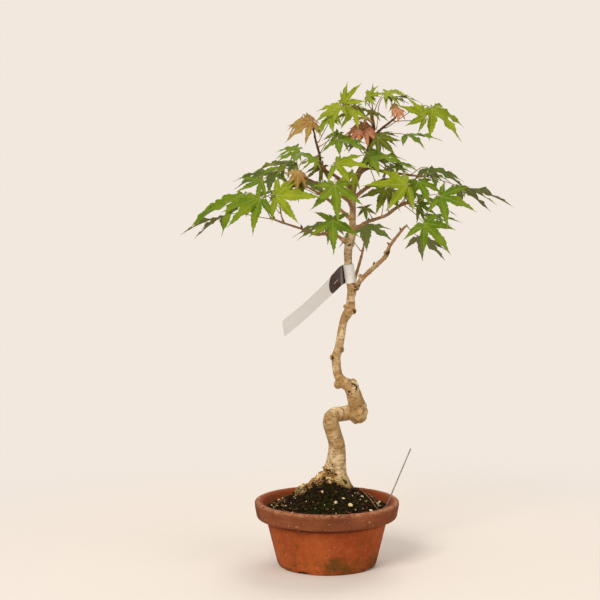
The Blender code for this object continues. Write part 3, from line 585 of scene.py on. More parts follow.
def pot_corners(pot):
    """The pan's section: floor, inner wall, rim, band, body and foot."""
    rim = POT_HIGH.x
    inside = rim - pot.rim_wall
    band_foot = RIM_TOP - pot.band
    body = rim - pot.overhang
    step = body - pot.wall
    return [
        (0, pot.floor, 0),
        (pot.foot - pot.wall, pot.floor, 0.006),
        (step, band_foot - 0.002, 0.002),
        (step + (inside - step) * 0.4, band_foot + 0.001, 0.003),
        (inside, RIM_TOP, 0.0034),
        (rim, RIM_TOP, 0.0042),
        (rim - 0.0002, RIM_TOP - 0.0050, 0.002),
        (rim - pot.taper, band_foot + 0.0008, 0.0030),
        (body - pot.undercut, band_foot + 0.0006, 0.0010),
        (body - pot.undercut, band_foot - 0.0014, 0.0014),
        (body, band_foot - 0.0040, 0.0020),
        (pot.foot + 0.0015, 0.0040, 0.0030),
        (pot.foot - 0.0008, 0, 0.0016),
        (0, 0, 0),
    ]


def cut_away(piece, cutters):
    """Cut helper solids out of a piece."""
    for cutter in cutters:
        modify(piece, 'BOOLEAN', object=cutter, operation='DIFFERENCE', solver='EXACT')
        remove(cutter)


def groove_cutter(pot, angle):
    """A trough under the foot with sloping sides."""
    length_out = pot.foot + 0.02 - pot.groove_start
    cutter = primitive(bpy.ops.mesh.primitive_cube_add, "groove", size=1,
                       location=(pot.groove_start + length_out / 2, 0, 0),
                       scale=(length_out, pot.groove_width, pot.groove_depth * 2))
    settle(cutter)
    bpy.ops.object.mode_set(mode='EDIT')
    body = bmesh.from_edit_mesh(cutter.data)
    for vert in body.verts:
        if vert.co.z > 0:
            vert.co.y -= math.copysign(pot.groove_slope, vert.co.y)
            vert.co.x += pot.groove_slope if vert.co.x < pot.foot else 0
    bmesh.update_edit_mesh(cutter.data)
    bpy.ops.mesh.select_all(action='SELECT')
    bpy.ops.mesh.bevel(offset=0.0008, segments=2)
    bpy.ops.object.mode_set(mode='OBJECT')
    cutter.rotation_euler.z = angle
    settle(cutter)
    return cutter


def wear(piece, pot):
    """Give the turned pan its throwing rings, dents and chipped edges."""
    body_radius = POT_HIGH.x - pot.overhang
    for vert in piece.data.vertices:
        x, y, z = vert.co
        radius = math.hypot(x, y)
        if radius < pot.foot * 0.7:
            continue
        out = Vector((x / radius, y / radius, 0))
        where = vert.co * 26
        sway = noise.noise(where * 0.55) * 0.00045
        rings = noise.noise(Vector((0.3, 0.7, z * 620))) * 0.00009
        pits = min(0, noise.noise(vert.co * 480) + 0.28) * 0.00035
        edge = max(0, 1 - abs(z - RIM_TOP) / 0.0022) * max(0, (radius - (POT_HIGH.x - 0.0035)) / 0.0035)
        foot = max(0, 1 - z / 0.0055)
        chip = max(0, noise.noise(vert.co * 95 + Vector((3, 1, 7))) - 0.22)
        nick = max(0, noise.noise(vert.co * 210 + Vector((9, 2, 4))) - 0.15)
        worn = -0.0042 * foot * chip * (radius > pot.foot * 0.9) - 0.0022 * edge * nick
        shift = sway + rings * (radius > body_radius * 0.9) + pits + worn
        if z < 0.00002:
            vert.co += out * min(0, worn)
        else:
            vert.co += out * shift
            vert.co.z += min(0, worn) * 0.6 * (edge > 0)
        vert.co.z = max(0, vert.co.z)


def clay_finish(pot):
    """Weathered terracotta: browner at the rim, damp and mossy at the foot, with pale bloom; the top of the
    rim lighter, partly rubbed wear and partly a painted highlight; painted shade in the undercut and inside
    the pan.
    """
    finish, n = new_finish("terracotta")
    where = n.place()
    x, y, height = n.split(where)
    broad = n.speckle(where, 22, 4, 0.6)
    fine = n.speckle(where, 230, 6, 0.7)
    grit = n.speckle(where, 900, 2, 0.5)
    band_foot = RIM_TOP - pot.band

    body = n.mix(n.between(broad, 0.35, 0.68), pot.clay, pot.clay_deep)
    body = n.mix(n.between(fine, 0.46, 0.74, 0, 0.45), body, (0.46, 0.14, 0.040, 1))
    low = n.between(height, 0.030, 0.004)
    damp = n.times(low, n.between(n.speckle(where, 48, 5, 0.65), 0.42, 0.66))
    body = n.mix(n.times(damp, 0.80), body, pot.stain)
    blot = n.between(n.speckle(where, 62, 5, 0.65, 0.4), 0.51, 0.66, 0, 0.60)
    blot = n.times(blot, n.between(height, 0.054, 0.020))
    body = n.mix(blot, body, pot.stain)

    streaks = n.put("Mapping", {"Vector": where, "Scale": (1, 1, 14)}).outputs[0]
    lines = n.speckle(streaks, 40, 4, 0.6)
    rim = n.mix(n.between(lines, 0.35, 0.70), pot.rim_clay, (0.27, 0.085, 0.032, 1))
    rim = n.mix(n.between(broad, 0.40, 0.70, 0, 0.75), rim, (0.110, 0.032, 0.014, 1))
    on_band = n.between(height, band_foot - 0.0008, band_foot + 0.0010)
    tone = n.mix(on_band, body, rim)
    # Painted shade: a near-black line in the undercut under the band.
    line = n.size(n.minus(height, band_foot - 0.0012))
    tone = n.mix(n.between(line, 0.0022, 0.0004, 0, 0.85), tone, (0.035, 0.014, 0.008, 1))

    # Partly rubbed wear and partly a painted highlight: the top of the rim lighter in the worn colour.
    crest_wear_and_highlight = n.times(n.between(height, RIM_TOP - 0.0045, RIM_TOP - 0.0008), n.between(fine, 0.36, 0.66))
    tone = n.mix(n.times(crest_wear_and_highlight, 0.75), tone, pot.worn)
    bloom = n.between(n.speckle(where, 300, 3, 0.5), 0.655, 0.72, 0, 0.75)
    tone = n.mix(bloom, tone, pot.worn)
    tone = n.mix(n.between(grit, 0.62, 0.75, 0, 0.35), tone, (0.10, 0.035, 0.018, 1))

    # Painted shade: the inner wall of the pan, above its floor, darker brown.
    flat = n.put("CombineXYZ", {0: x, 1: y}).outputs[0]
    radius = n.put("VectorMath", {0: flat}, operation='LENGTH').outputs["Value"]
    body_radius = POT_HIGH.x - pot.overhang
    slope = (body_radius - pot.foot) / (band_foot - 0.004)
    middle = n.plus(n.times(height, slope), pot.foot - pot.wall * 0.55)
    in_band = n.between(height, band_foot - 0.003, band_foot + 0.002)
    outwards = n.minus(POT_HIGH.x - pot.rim_wall * 0.62, middle)
    middle = n.plus(middle, n.times(in_band, outwards))
    depth = n.minus(radius, middle)
    inner = n.times(n.between(depth, 0.0006, -0.0006), n.between(height, 0.006, 0.0075))
    inner_shade_tone = n.mix(fine, (0.30, 0.062, 0.015, 1), (0.15, 0.036, 0.012, 1))
    tone = n.mix(inner, tone, inner_shade_tone)

    bump = n.raised(fine, 0.00045, 0.55)
    bump = n.raised(lines, 0.00035, 0.40, bump)
    bump = n.raised(grit, 0.00018, 0.5, bump)
    rough = n.between(broad, 0.3, 0.7, 0.74, 0.92)
    n.close(n.painted(tone, rough, bump, 0.10))
    return finish


# Where the grooves and the drain holes lie round the foot, in degrees, and the steps of the turned pan
GROOVE_ANGLES = (-120, -30, 60, 150)
DRAIN_ANGLES = (-120, 60)
POT_STEPS = 300


class BONSAI_OT_pot(bpy.types.Operator):
    """Turn the terracotta pan and wear it"""
    bl_idname = "bonsai.pot"
    bl_label = "Pot"

    def execute(self, context):
        pot = context.scene.bonsai.pot
        profile = filled_in(rounded(pot_corners(pot)), 0.0013)
        pan = spun("pot_pan", profile, POT_STEPS)
        cutters = [groove_cutter(pot, math.radians(angle)) for angle in GROOVE_ANGLES]
        for angle in DRAIN_ANGLES:
            turn = math.radians(angle)
            hole = primitive(bpy.ops.mesh.primitive_cylinder_add, "drain", vertices=40,
                             radius=pot.drain_radius, depth=pot.floor * 2,
                             location=(pot.drain_place * math.cos(turn), pot.drain_place * math.sin(turn),
                                       pot.floor / 2))
            settle(hole)
            cutters.append(hole)
        cut_away(pan, cutters)
        wear(pan, pot)
        smooth(pan, 50)
        finish_piece(pan, SLOTS["pot"], [clay_finish(pot)], "pot")
        return {'FINISHED'}


class BONSAI_OT_drain_mesh(bpy.types.Operator):
    """Finish the plastic mesh over the drain holes"""
    bl_idname = "bonsai.drain_mesh"
    bl_label = "Drain mesh"

    def execute(self, context):
        finish = speckled("drain_mesh", 1500, 3, None, (0.012, 0.012, 0.013, 1), (0.035, 0.034, 0.032, 1),
                          0.5, (0.0001, 0.4))
        for name in DRAIN_NODES:
            node = frame["nodes"][name]
            node.data.materials.clear()
            node.data.materials.append(finish)
        return {'FINISHED'}


# --------------------------------------------------------------------------- soil

def soil_edge(pot, soil):
    """The radius of the soil where it meets the wall."""
    inside = POT_HIGH.x - pot.rim_wall
    step = POT_HIGH.x - pot.overhang - pot.wall
    rise = 0.35 + 0.65 * (pot.band - soil.drop) / pot.band
    return step + (inside - step) * rise - 0.0004


def soil_level(soil, edge, x, y):
    """The height of the heap, without its crumbs."""
    away = math.hypot(x - soil.middle_x, y - soil.middle_y)
    heap = soil.heap * (1 + math.cos(math.pi * min(away / soil.reach, 1))) / 2
    inside = max(0.0, 1 - (x * x + y * y) / edge ** 2)
    return RIM_TOP - soil.drop + heap * min(1, inside * 2.2)


def crumbly(soil, edge, x, y):
    """The height of the soil with its lumps and crumbs."""
    at = Vector((x, y, 0))
    level = soil_level(soil, edge, x, y)
    broad = noise.noise(at * 42) * 1.5 + noise.noise(at * 95) * 1.3
    jitter = Vector((noise.noise(at * 240), noise.noise(at * 260 + Vector((4, 4, 4))), 0)) * 0.7
    (near, second, *_), _ = noise.voronoi(at * 170 + jitter)
    clods = (0.45 - near) * 1.9 - max(0, 1 - (second - near) / 0.16) * 0.9
    small = (0.42 - noise.voronoi(at * 470 + jitter)[0][0]) * 1.1
    fine = noise.noise(at * 900) * 0.35
    fade = held((edge - math.hypot(x, y)) / 0.002)
    return level + (broad + clods + small + fine) * soil.lump * (0.30 + 0.70 * fade)


def earth_finish(soil, name="soil", dry=0.0):
    """Damp, near-black soil with a film of moss."""
    finish, n = new_finish(name)
    where = n.place()
    fine = n.speckle(where, 420, 6, 0.7)
    patch = n.speckle(where, 55, 4, 0.6)
    grains = n.cells(where, 560)
    tone = n.mix(n.between(fine, 0.50 - dry, 0.74 - dry), soil.earth, soil.earth_light)
    green = n.times(n.between(patch, 0.47, 0.60), n.between(fine, 0.34, 0.60))
    tone = n.mix(n.times(green, 0.80 - dry), tone, soil.moss)
    rust = n.between(n.speckle(where, 260, 2), 0.62, 0.68, 0, 0.75)
    tone = n.mix(rust, tone, (0.120, 0.038, 0.012, 1))
    spark = n.between(n.speckle(where, 1000, 2), 0.66, 0.72, 0, 0.7)
    tone = n.mix(spark, tone, (0.30, 0.19, 0.085, 1))
    # Painted shade: near-black in the hollows between the grains.
    tone = n.mix(n.between(grains, 0.30, 0.62, 0, 0.75), tone, (0.004, 0.002, 0.001, 1))
    bump = n.raised(fine, 0.0012, 0.9)
    bump = n.raised(grains, -0.0006, 0.8, bump)
    n.close(n.painted(tone, n.between(fine, 0.3, 0.7, 0.70, 0.98), bump, 0.06))
    return finish


# Rings of points from the soil's edge to its middle, and points on each ring
SOIL_RINGS = 96
SOIL_STEPS = 380


class BONSAI_OT_soil(bpy.types.Operator):
    """Heap the soil round the roots"""
    bl_idname = "bonsai.soil"
    bl_label = "Soil"

    def execute(self, context):
        pot, soil = context.scene.bonsai.pot, context.scene.bonsai.soil
        edge = soil_edge(pot, soil)
        band_foot = RIM_TOP - pot.band
        step = POT_HIGH.x - pot.overhang - pot.wall - 0.0005
        top = RIM_TOP - soil.drop
        profile = [Vector((0, SOIL_LOW.z)), Vector((pot.foot - pot.wall - 0.0045, SOIL_LOW.z)),
                   Vector((pot.foot - pot.wall - 0.0005, SOIL_LOW.z + 0.0040)),
                   Vector((step, band_foot - 0.002)), Vector((step + 0.0036, band_foot + 0.0006)),
                   Vector((edge, top - 0.0015))]
        profile += [Vector((edge * (1 - at / SOIL_RINGS), top)) for at in range(SOIL_RINGS + 1)]
        piece = spun("soil_heap", profile, SOIL_STEPS)
        for vert in piece.data.vertices:
            if vert.co.z > top - 0.0001:
                vert.co.z = crumbly(soil, edge, vert.co.x, vert.co.y)
        smooth(piece, 70)
        finish_piece(piece, SLOTS["soil"], [earth_finish(soil)], "soil")
        return {'FINISHED'}


def rough_stone(draw, detail, size, rough):
    """One angular lump, as vertices and faces round the origin."""
    body = bmesh.new()
    bmesh.ops.create_icosphere(body, subdivisions=detail, radius=1)
    offset = Vector([draw.uniform(0, 50) for _ in range(3)])
    for vert in body.verts:
        lump = 1 + (noise.noise(vert.co * 1.1 + offset) * 2 + noise.noise(vert.co * 3 + offset)) * rough
        vert.co = Vector([value * lump * part for value, part in zip(vert.co, size)])
    turn = Matrix.Rotation(draw.uniform(0, math.tau), 3, 'Z') @ Matrix.Rotation(draw.uniform(0, 3), 3, 'X')
    bmesh.ops.rotate(body, verts=body.verts, matrix=turn)
    return body


# Middle of the trunk's foot, and how far round it nothing lies
WOOD_FOOT = Vector((0.014, 0.001, 0))
WOOD_CLEAR = 0.016


def scatter(draw, soil, edge, lowest=0.0, highest=0.97):
    """A random place on the soil, clear of the trunk, between two shares of its radius."""
    while True:
        turn = draw.uniform(0, math.tau)
        reach = edge * math.sqrt(draw.uniform(lowest ** 2, highest ** 2))
        x, y = reach * math.cos(turn), reach * math.sin(turn)
        if math.hypot(x - WOOD_FOOT.x, y - WOOD_FOOT.y) > WOOD_CLEAR:
            return Vector((x, y, crumbly(soil, edge, x, y)))


def strewn(name, draw, places, make):
    """One object of many small lumps, each made by a function and set on a place."""
    body = bmesh.new()
    for at in places:
        lump = make(draw)
        bmesh.ops.translate(lump, verts=lump.verts, vec=at)
        part = bpy.data.meshes.new("part")
        lump.to_mesh(part)
        lump.free()
        body.from_mesh(part)
        bpy.data.meshes.remove(part)
    return from_body(name, body)


def chip_finish(soil):
    """Pale tan grit."""
    finish, n = new_finish("grit")
    where = n.place()
    fine = n.speckle(where, 520, 5, 0.65)
    tone = n.mix(n.between(fine, 0.35, 0.70), soil.chip, (0.80, 0.72, 0.47, 1))
    blots = n.between(n.speckle(where, 210), 0.50, 0.66, 0, 0.7)
    tone = n.mix(blots, tone, (0.28, 0.17, 0.06, 1))
    n.close(n.painted(tone, 0.75, n.raised(fine, 0.0004, 0.6), 0.15))
    return finish


# Both ends of each dry needle, in metres
NEEDLES = (((0.036, 0.004), (0.055, -0.024)), ((0.047, -0.012), (0.062, -0.030)),
           ((0.044, 0.010), (0.060, -0.012)), ((-0.050, -0.030), (-0.034, -0.046)),
           ((-0.058, -0.010), (-0.046, 0.020)), ((0.020, -0.052), (0.044, -0.050)),
           ((0.030, 0.045), (0.052, 0.030)), ((-0.020, 0.052), (-0.044, 0.038)))


class BONSAI_OT_litter(bpy.types.Operator):
    """Strew crumbs, small chips, moss and dry needles on the soil"""
    bl_idname = "bonsai.litter"
    bl_label = "Litter"

    def execute(self, context):
        pot, soil = context.scene.bonsai.pot, context.scene.bonsai.soil
        edge = soil_edge(pot, soil)
        draw = random.Random(11)

        def lay(name, places, make, slot, finish, angle=None):
            piece = strewn(name, draw, places, make)
            if angle:
                smooth(piece, angle)
            finish_piece(piece, slot, [finish])

        def places(many, rise, *reach):
            return [scatter(draw, soil, edge, *reach) + Vector((0, 0, rise)) for _ in range(many)]

        def crumb(draw):
            size = draw.choice((0.5, 0.7, 0.9, 1.3, 1.9)) * MM
            return rough_stone(draw, 1 if size < 0.0010 else 2, (size, size * 0.85, size * 0.7), 0.45)

        def chip(draw):
            size = draw.choice((0.5, 0.6, 0.8, 1.0, 1.5)) * MM
            return rough_stone(draw, 1, (size * 1.4, size, size * 0.75), 0.5)

        def bark_chip(draw):
            size = draw.uniform(0.8, 2.0) * MM
            return rough_stone(draw, 1, (size * 1.8, size * 0.7, size * 0.5), 0.5)

        def tuft(draw):
            body = bmesh.new()
            for _ in range(30):
                lean = Vector((draw.gauss(0, 0.6), draw.gauss(0, 0.6), 1)).normalized()
                foot = Vector((draw.gauss(0, 1.1), draw.gauss(0, 1.1), -0.5)) * MM
                tall = draw.uniform(0.9, 2.6) * MM
                tube_into(body, [foot, foot + lean * tall * 0.6, foot + lean * tall],
                          [0.00019, 0.00016, 0.00003], 3)
            return body

        slot = SLOTS["soil"]
        lay("soil_crumbs", places(soil.crumbs, 0), crumb, slot, earth_finish(soil, "soil_crumbs", 0.10), 60)
        lay("grit_small", places(soil.chips, 0.0007, 0.42), chip, SLOTS["grit_1"], chip_finish(soil), 22)
        bark = speckled("bark_chips", 300, 4, (0.35, 0.65), (0.045, 0.016, 0.006, 1),
                        (0.22, 0.095, 0.035, 1), 0.8, (0.0005, 0.7), 0.1)
        lay("bark_chips", places(soil.bark, 0.0006, 0.25), bark_chip, slot, bark, 25)
        mossy = [at for at in places(soil.tufts, 0, 0.12, 0.75) if noise.noise(at * 40) > -0.10]
        green = speckled("moss", 700, 3, (0.40, 0.75), soil.moss, (0.085, 0.095, 0.010, 1), 0.8,
                         specular=0.08)
        lay("moss", mossy, tuft, slot, green)
        dry = speckled("needles", 300, 3, None, soil.needle, (0.34, 0.15, 0.07, 1), 0.6, specular=0.3)
        finish_piece(self.needles(soil, edge), slot, [dry])
        return {'FINISHED'}

    def needles(self, soil, edge):
        """Dry needles lying on the soil."""
        draw = random.Random(5)
        body = bmesh.new()
        shares = [step / 12 for step in range(13)]
        for start, end in NEEDLES:
            a, b = Vector((*start, 0)), Vector((*end, 0))
            bow = (b - a).cross(Vector((0, 0, 1))) * draw.uniform(-0.12, 0.12)
            points = []
            for t in shares:
                point = a.lerp(b, t) + bow * math.sin(math.pi * t)
                point.z = soil_level(soil, edge, point.x, point.y) + 0.0016 + 0.0006 * math.sin(t * 5)
                points.append(point)
            tube_into(body, points, [0.00032 * (1 - 0.75 * t ** 3) for t in shares], 6)
        return from_body("dry_needles", body)


class BONSAI_OT_grit(bpy.types.Operator):
    """Roughen the larger chips of grit"""
    bl_idname = "bonsai.grit"
    bl_label = "Grit"

    def execute(self, context):
        finish = chip_finish(context.scene.bonsai.soil)
        for name in GRIT_NODES:
            chip = copy_of(name, name.replace("grit", "chip"))
            modify(chip, 'SUBSURF', levels=3, render_levels=3, subdivision_type='SIMPLE')
            modify(chip, 'SMOOTH', iterations=1, factor=0.5)
            for vert in chip.data.vertices:
                vert.co += vert.normal * noise.noise(vert.co * 700) * 0.00035
            smooth(chip, 40)
            finish_piece(chip, SLOTS[name], [finish], name)
        return {'FINISHED'}


# --------------------------------------------------------------------------- wood

# Limbs of the tree: x, y and height above the rim, and radius, in millimetres
TRUNK = {
    "low": ((14, 2, -24, 8), (15, 1, -6, 12.5), (14, 0, 8, 13.5), (12, 0, 22, 12), (10, 0, 40, 11),
            (11, -4, 62, 9.4), (6, -8, 80, 8.9), (4, -9, 92, 8.9), (9, -4, 99, 7.5)),
    "turn": ((1, -8, 93, 7.5), (9, -3, 97, 8.4), (19, 4, 97, 8.5), (28, 3, 100, 9), (33, -1, 107, 8.5)),
    "middle": ((30, 3, 98, 8), (33, -2, 106, 9.6), (31, -6, 115, 9), (29, -6, 122, 8.3),
               (25, -4, 129, 7.6), (18, -1, 133, 6.2), (13, 0, 139, 5.4), (11, 0, 147, 5.1), (10, 0, 161, 5),
               (13, 0, 172, 4.8), (15, 0, 183, 4.6), (18, 0, 200, 4.7), (22, 0, 209, 5.4),
               (26, 0, 217, 5.2), (26, 0, 226, 4.7), (27, 0, 237, 5.1), (24, 0, 252, 4.5),
               (23, 0, 266, 4.2), (23, 0, 282, 4.8), (27, 0, 296, 4.1), (28, 0, 323, 3.6),
               (28, 0, 344, 3.6), (34, 2, 363, 3.6), (44, 0, 381, 3.7), (47, -2, 399, 3.1),
               (50, -2, 413, 2.4), (49, -2, 424, 1.5), (50, -3, 430, 1)),
}
ROOTS = {
    "left": ((7, 0, 32, 7), (-3, -3, 26, 7.5), (-12, -5, 20, 7), (-20, -8, 16, 6), (-28, -9, 11, 7.4),
             (-32, -10, 2, 5.4), (-34, -11, -10, 3.2)),
    "front_right": ((14, -2, 30, 8), (19, -6, 20, 7), (24, -9, 11, 5.2), (28, -13, 1, 4.2),
                    (33, -18, -12, 3)),
    "back_right": ((14, 4, 28, 8), (22, 14, 14, 6), (30, 24, 2, 4.5), (36, 32, -12, 3)),
    "back_left": ((7, 6, 26, 8), (-2, 18, 12, 6), (-10, 30, 0, 4.2), (-15, 38, -12, 3)),
    "front_left": ((9, -5, 19, 8), (2, -12, 9, 6), (-6, -20, -2, 4.4), (-11, -27, -13, 2.9)),
}
BRANCHES = {
    "right_low": ((26, 0, 233, 3.6), (32, -4, 239, 3.2), (37, -10, 248, 2.7), (50, -20, 262, 2.5),
                  (61, -28, 273, 2.4), (65, -32, 280, 2.6), (67, -35, 287, 1.9), (79, -42, 304, 1.6),
                  (85, -46, 311, 1.1)),
    "right_mid": ((28, 0, 303, 3), (35, -4, 306, 2.2), (43, -8, 311, 2), (63, -20, 319, 1.8),
                  (72, -24, 326, 1.8), (84, -28, 333, 1.8), (93, -32, 332, 1.2)),
    "left_low": ((24, 0, 284, 3), (17, -4, 291, 2.2), (10, -9, 296, 1.9), (-3, -18, 299, 1.8),
                 (-12, -24, 299, 1.8), (-27, -32, 305, 1.4), (-49, -42, 313, 1.3), (-61, -46, 318, 1)),
    "left_tip": ((-47, -41, 312, 1.2), (-50, -42, 320, 1), (-51, -43, 327, 0.9)),
    "left_high": ((28, 0, 346, 2.6), (19, -5, 353, 2), (8, -12, 362, 1.8), (-6, -20, 371, 1.6),
                  (-9, -25, 386, 1.5), (-13, -30, 400, 1.3), (-15, -32, 411, 1)),
    "left_mid": ((28, 0, 330, 2.4), (14, -4, 340, 1.8), (-4, -8, 350, 1.5), (-26, -14, 360, 1.3),
                 (-40, -20, 365, 1)),
    "front": ((28, -1, 322, 2.4), (24, -14, 332, 1.8), (18, -30, 342, 1.5), (14, -42, 352, 1.2)),
    "right_high": ((35, 2, 364, 2.6), (46, -3, 370, 1.9), (62, -10, 366, 1.7), (80, -18, 364, 1.5),
                   (98, -20, 362, 1.2), (110, -20, 362, 1)),
    "top_right": ((47, -2, 400, 2.2), (57, -5, 411, 1.6), (68, -8, 420, 1.4), (74, -9, 425, 1)),
    "top_left": ((49, -2, 419, 1.6), (42, -6, 425, 1.3), (36, -8, 431, 1)),
    "back_left": ((27, 1, 312, 2.8), (16, 14, 322, 2.1), (0, 34, 334, 1.8), (-18, 54, 344, 1.5),
                  (-34, 70, 350, 1.1)),
    "back_right": ((29, 1, 336, 2.8), (42, 16, 346, 2.1), (60, 34, 354, 1.8), (78, 52, 356, 1.5),
                   (92, 66, 358, 1.1)),
    "back_low": ((26, 1, 228, 2.8), (29, 14, 240, 2.1), (35, 34, 257, 1.7), (40, 54, 271, 1.4),
                 (43, 72, 282, 1)),
}
# Knots and swellings: x, y, height above the rim, and radius, in millimetres
KNOBS = ((3, -4, 37, 6.8), (0, -5, 26, 6.5), (34, 0, 98, 11.4), (37, -3, 106, 7), (27, -4, 129, 7.8),
         (29, -3, 133, 4.4), (12.5, -1, 130.5, 5.2), (6, -2, 161, 3.4), (16, 1, 169, 3.2), (29, -1, 212, 3.4),
         (20, -1, 217, 2.6), (36, -9, 252, 2.4), (64, -31, 279, 3.4), (18, 0, 291, 3), (27, 1, 286, 3.2),
         (-12, -24, 300, 2.3), (83, -28, 333, 2.3), (42, 2, 372, 2.6), (47, -4, 405, 3))
# Middle of the big knot at the trunk's turn: x, y and height above the rim, in millimetres
BURL = (35, -1, 101)
# Dark scars, and creases darkened with painted shade, in the bark: both ends of each as x, y, height, and
# half its width, in millimetres
SCARS = (((29.5, -5, 213.5), (31.5, -4, 210), 0.9), ((22, -7, 209), (27, -6, 207), 0.5),
         ((27, -12, 134), (33, -10, 130), 1.0), ((33, -10, 130), (31, -12, 123), 0.9),
         ((24, -12, 124), (31, -13, 121), 0.8), ((20.5, -6, 88), (19, -8, 96), 0.8),
         ((19, -8, 96), (20, -6, 108), 0.8), ((38, -13, 108), (43, -9, 104), 0.8),
         ((37, -14, 98), (42, -11, 95), 0.5), ((30, -11, 89), (38, -11, 88), 0.6),
         ((42, -8, 117), (42, -7, 113), 0.9), ((5.5, -5, 162), (6.5, -5, 158), 0.8),
         ((17, -4, 169), (18, -3, 167), 0.8), ((23, -5, 285), (26, -5, 287), 0.7),
         ((16, -3, 291), (18, -4, 290), 0.8), ((64, -34, 279), (66, -34, 281), 1.0),
         ((31, -6, 240), (37, -8, 242), 0.9), ((26, -6, 235), (33, -7, 236), 0.7),
         ((41, 0, 374), (43, 0, 371), 0.9), ((45, -5, 405), (48, -6, 404), 0.9),
         ((33, 0, 352), (36, 0, 350), 0.6), ((2, -10, 44), (8, -12, 40), 0.8),
         ((0, -11, 36), (5, -12, 33), 0.9), ((6, -12, 36), (9, -12, 31), 0.8),
         ((-4, -11, 26), (2, -13, 24), 1.2), ((14, -13, 49), (20, -11, 50), 0.4),
         ((15, -13, 30), (21, -12, 22), 0.9), ((10, -13, 20), (17, -14, 16), 1.5),
         ((-16, -12, 22), (-12, -12, 16), 1.1), ((-23, -14, 18), (-20, -14, 12), 0.9),
         ((14, 6, 60), (12, 8, 58), 1.0), ((28, 5, 216), (26, 6, 214), 1.0))
# Buds on the twigs: x, y, height, and the way they point
BUDS = ((-27.5, -32, 306, (-2, -1, 4)), (-9, -25, 368, (-3, 0, 4)), (86, -29, 334, (2, -1, 4)),
        (79, -42, 304, (-2, -1, 4)), (67, -35, 288, (-3, -1, 3)), (50, -20, 265, (1, -2, 4)),
        (-15, -32, 412, (-1, 0, 4)), (57, -5, 411, (2, -1, 3)), (10, -9, 297, (-1, -1, 4)),
        (45, -9, 312, (0, -2, 4)), (62, -10, 367, (1, -2, 4)), (42, 16, 347, (2, 1, 4)))
# Height of the drawn wood above the rim, and what makes the part's metres of its millimetres
DRAWN_TOP = 431.7
WOOD_SCALE = (WOOD_HIGH.z - RIM_TOP) / DRAWN_TOP
# A limb with a smaller radius than TWIG swells at a node every NODE_EVERY, in millimetres
TWIG = 3.3
NODE_EVERY = 13
# What the bark's finish reads on each point of the wood
NOTES = ("along", "girth", "scar", "rough", "ring")


def grown(x, y, z):
    """A place on the tree, from millimetres and the height above the rim."""
    return Vector((x, y, z)) * WOOD_SCALE + Vector((0, 0, RIM_TOP))


def limb_line(rows, step=1.0):
    """Points and radii along a limb, in metres, with a swelling at each node of a twig."""
    line = []
    along = rows[-1][0]
    before = rows[0]
    for row in spline(rows, step):
        along += math.dist(row[:3], before[:3])
        before = row
        swell = 0.22 * max(0, math.sin(along * math.tau / NODE_EVERY)) ** 8 if row[3] < TWIG else 0
        line.append((grown(*row[:3]), row[3] * WOOD_SCALE * (1 + swell)))
    return line


def limb(name, rows, turns):
    """A closed round limb: a curve with a thickness at each point, made a mesh."""
    piece = primitive(bpy.ops.curve.primitive_nurbs_path_add, name)
    piece.data.splines.clear()
    line = limb_line(rows)
    path = piece.data.splines.new('POLY')
    path.points.add(len(line) - 1)
    for point, (at, radius) in zip(path.points, line):
        point.co = (*at, 1)
        point.radius = radius
    piece.data.bevel_depth = 1
    piece.data.bevel_resolution = turns
    piece.data.use_fill_caps = True
    choose(piece)
    bpy.ops.object.convert(target='MESH')
    return piece


def swelling(index, row):
    """A lumpy knot."""
    middle = grown(*row[:3])
    piece = primitive(bpy.ops.mesh.primitive_ico_sphere_add, f"knot_{index}", subdivisions=4,
                      radius=row[3] * WOOD_SCALE, location=middle)
    settle(piece)
    for vert in piece.data.vertices:
        out = vert.co - middle
        vert.co = middle + out * (1 + 0.16 * noise.noise(out * 190 + Vector((index, 3, 5))))
    return piece


class LimbMap:
    """Finds the limb under a point: its radius there, and how far along it the point is."""

    def __init__(self):
        self.rows = []
        for number, rows in enumerate((*TRUNK.values(), *ROOTS.values(), *BRANCHES.values())):
            line = limb_line(rows, 2.0)
            along = number * 0.37
            before = line[0][0]
            for point, radius in line:
                along += (point - before).length
                before = point
                self.rows.append((point, radius, along))
        self.tree = KDTree(len(self.rows))
        for index, (point, _, _) in enumerate(self.rows):
            self.tree.insert(point, index)
        self.tree.balance()

    def at(self, point):
        """The radius of the limb at a point, and the length along it."""
        found = sorted((distance / self.rows[index][1], index)
                       for _, index, distance in self.tree.find_n(point, 14))
        (a, radius, along), (b, _, further) = (self.rows[index] for _, index in found[:2])
        if abs(along - further) > 0.01:
            return radius, along
        return radius, along + (further - along) * held((point - a).dot(b - a) / (b - a).length_squared)

    def nearest(self, point):
        """The nearest point on a limb's middle line."""
        return self.rows[self.tree.find(point)[1]][0]


def near_scar(point, scars):
    """How deep in a scar a point lies, from 0 to 1."""
    deepest = 0
    for start, end, half in scars:
        if (point - start).length > (end - start).length + half * 5:
            continue
        run = end - start
        share = held((point - start).dot(run) / run.length_squared)
        away = (point - start - run * share).length / (half * (1 + 0.9 * noise.noise(point * 620)))
        deepest = max(deepest, min(1, 2.3 - away))
    return max(0, deepest)


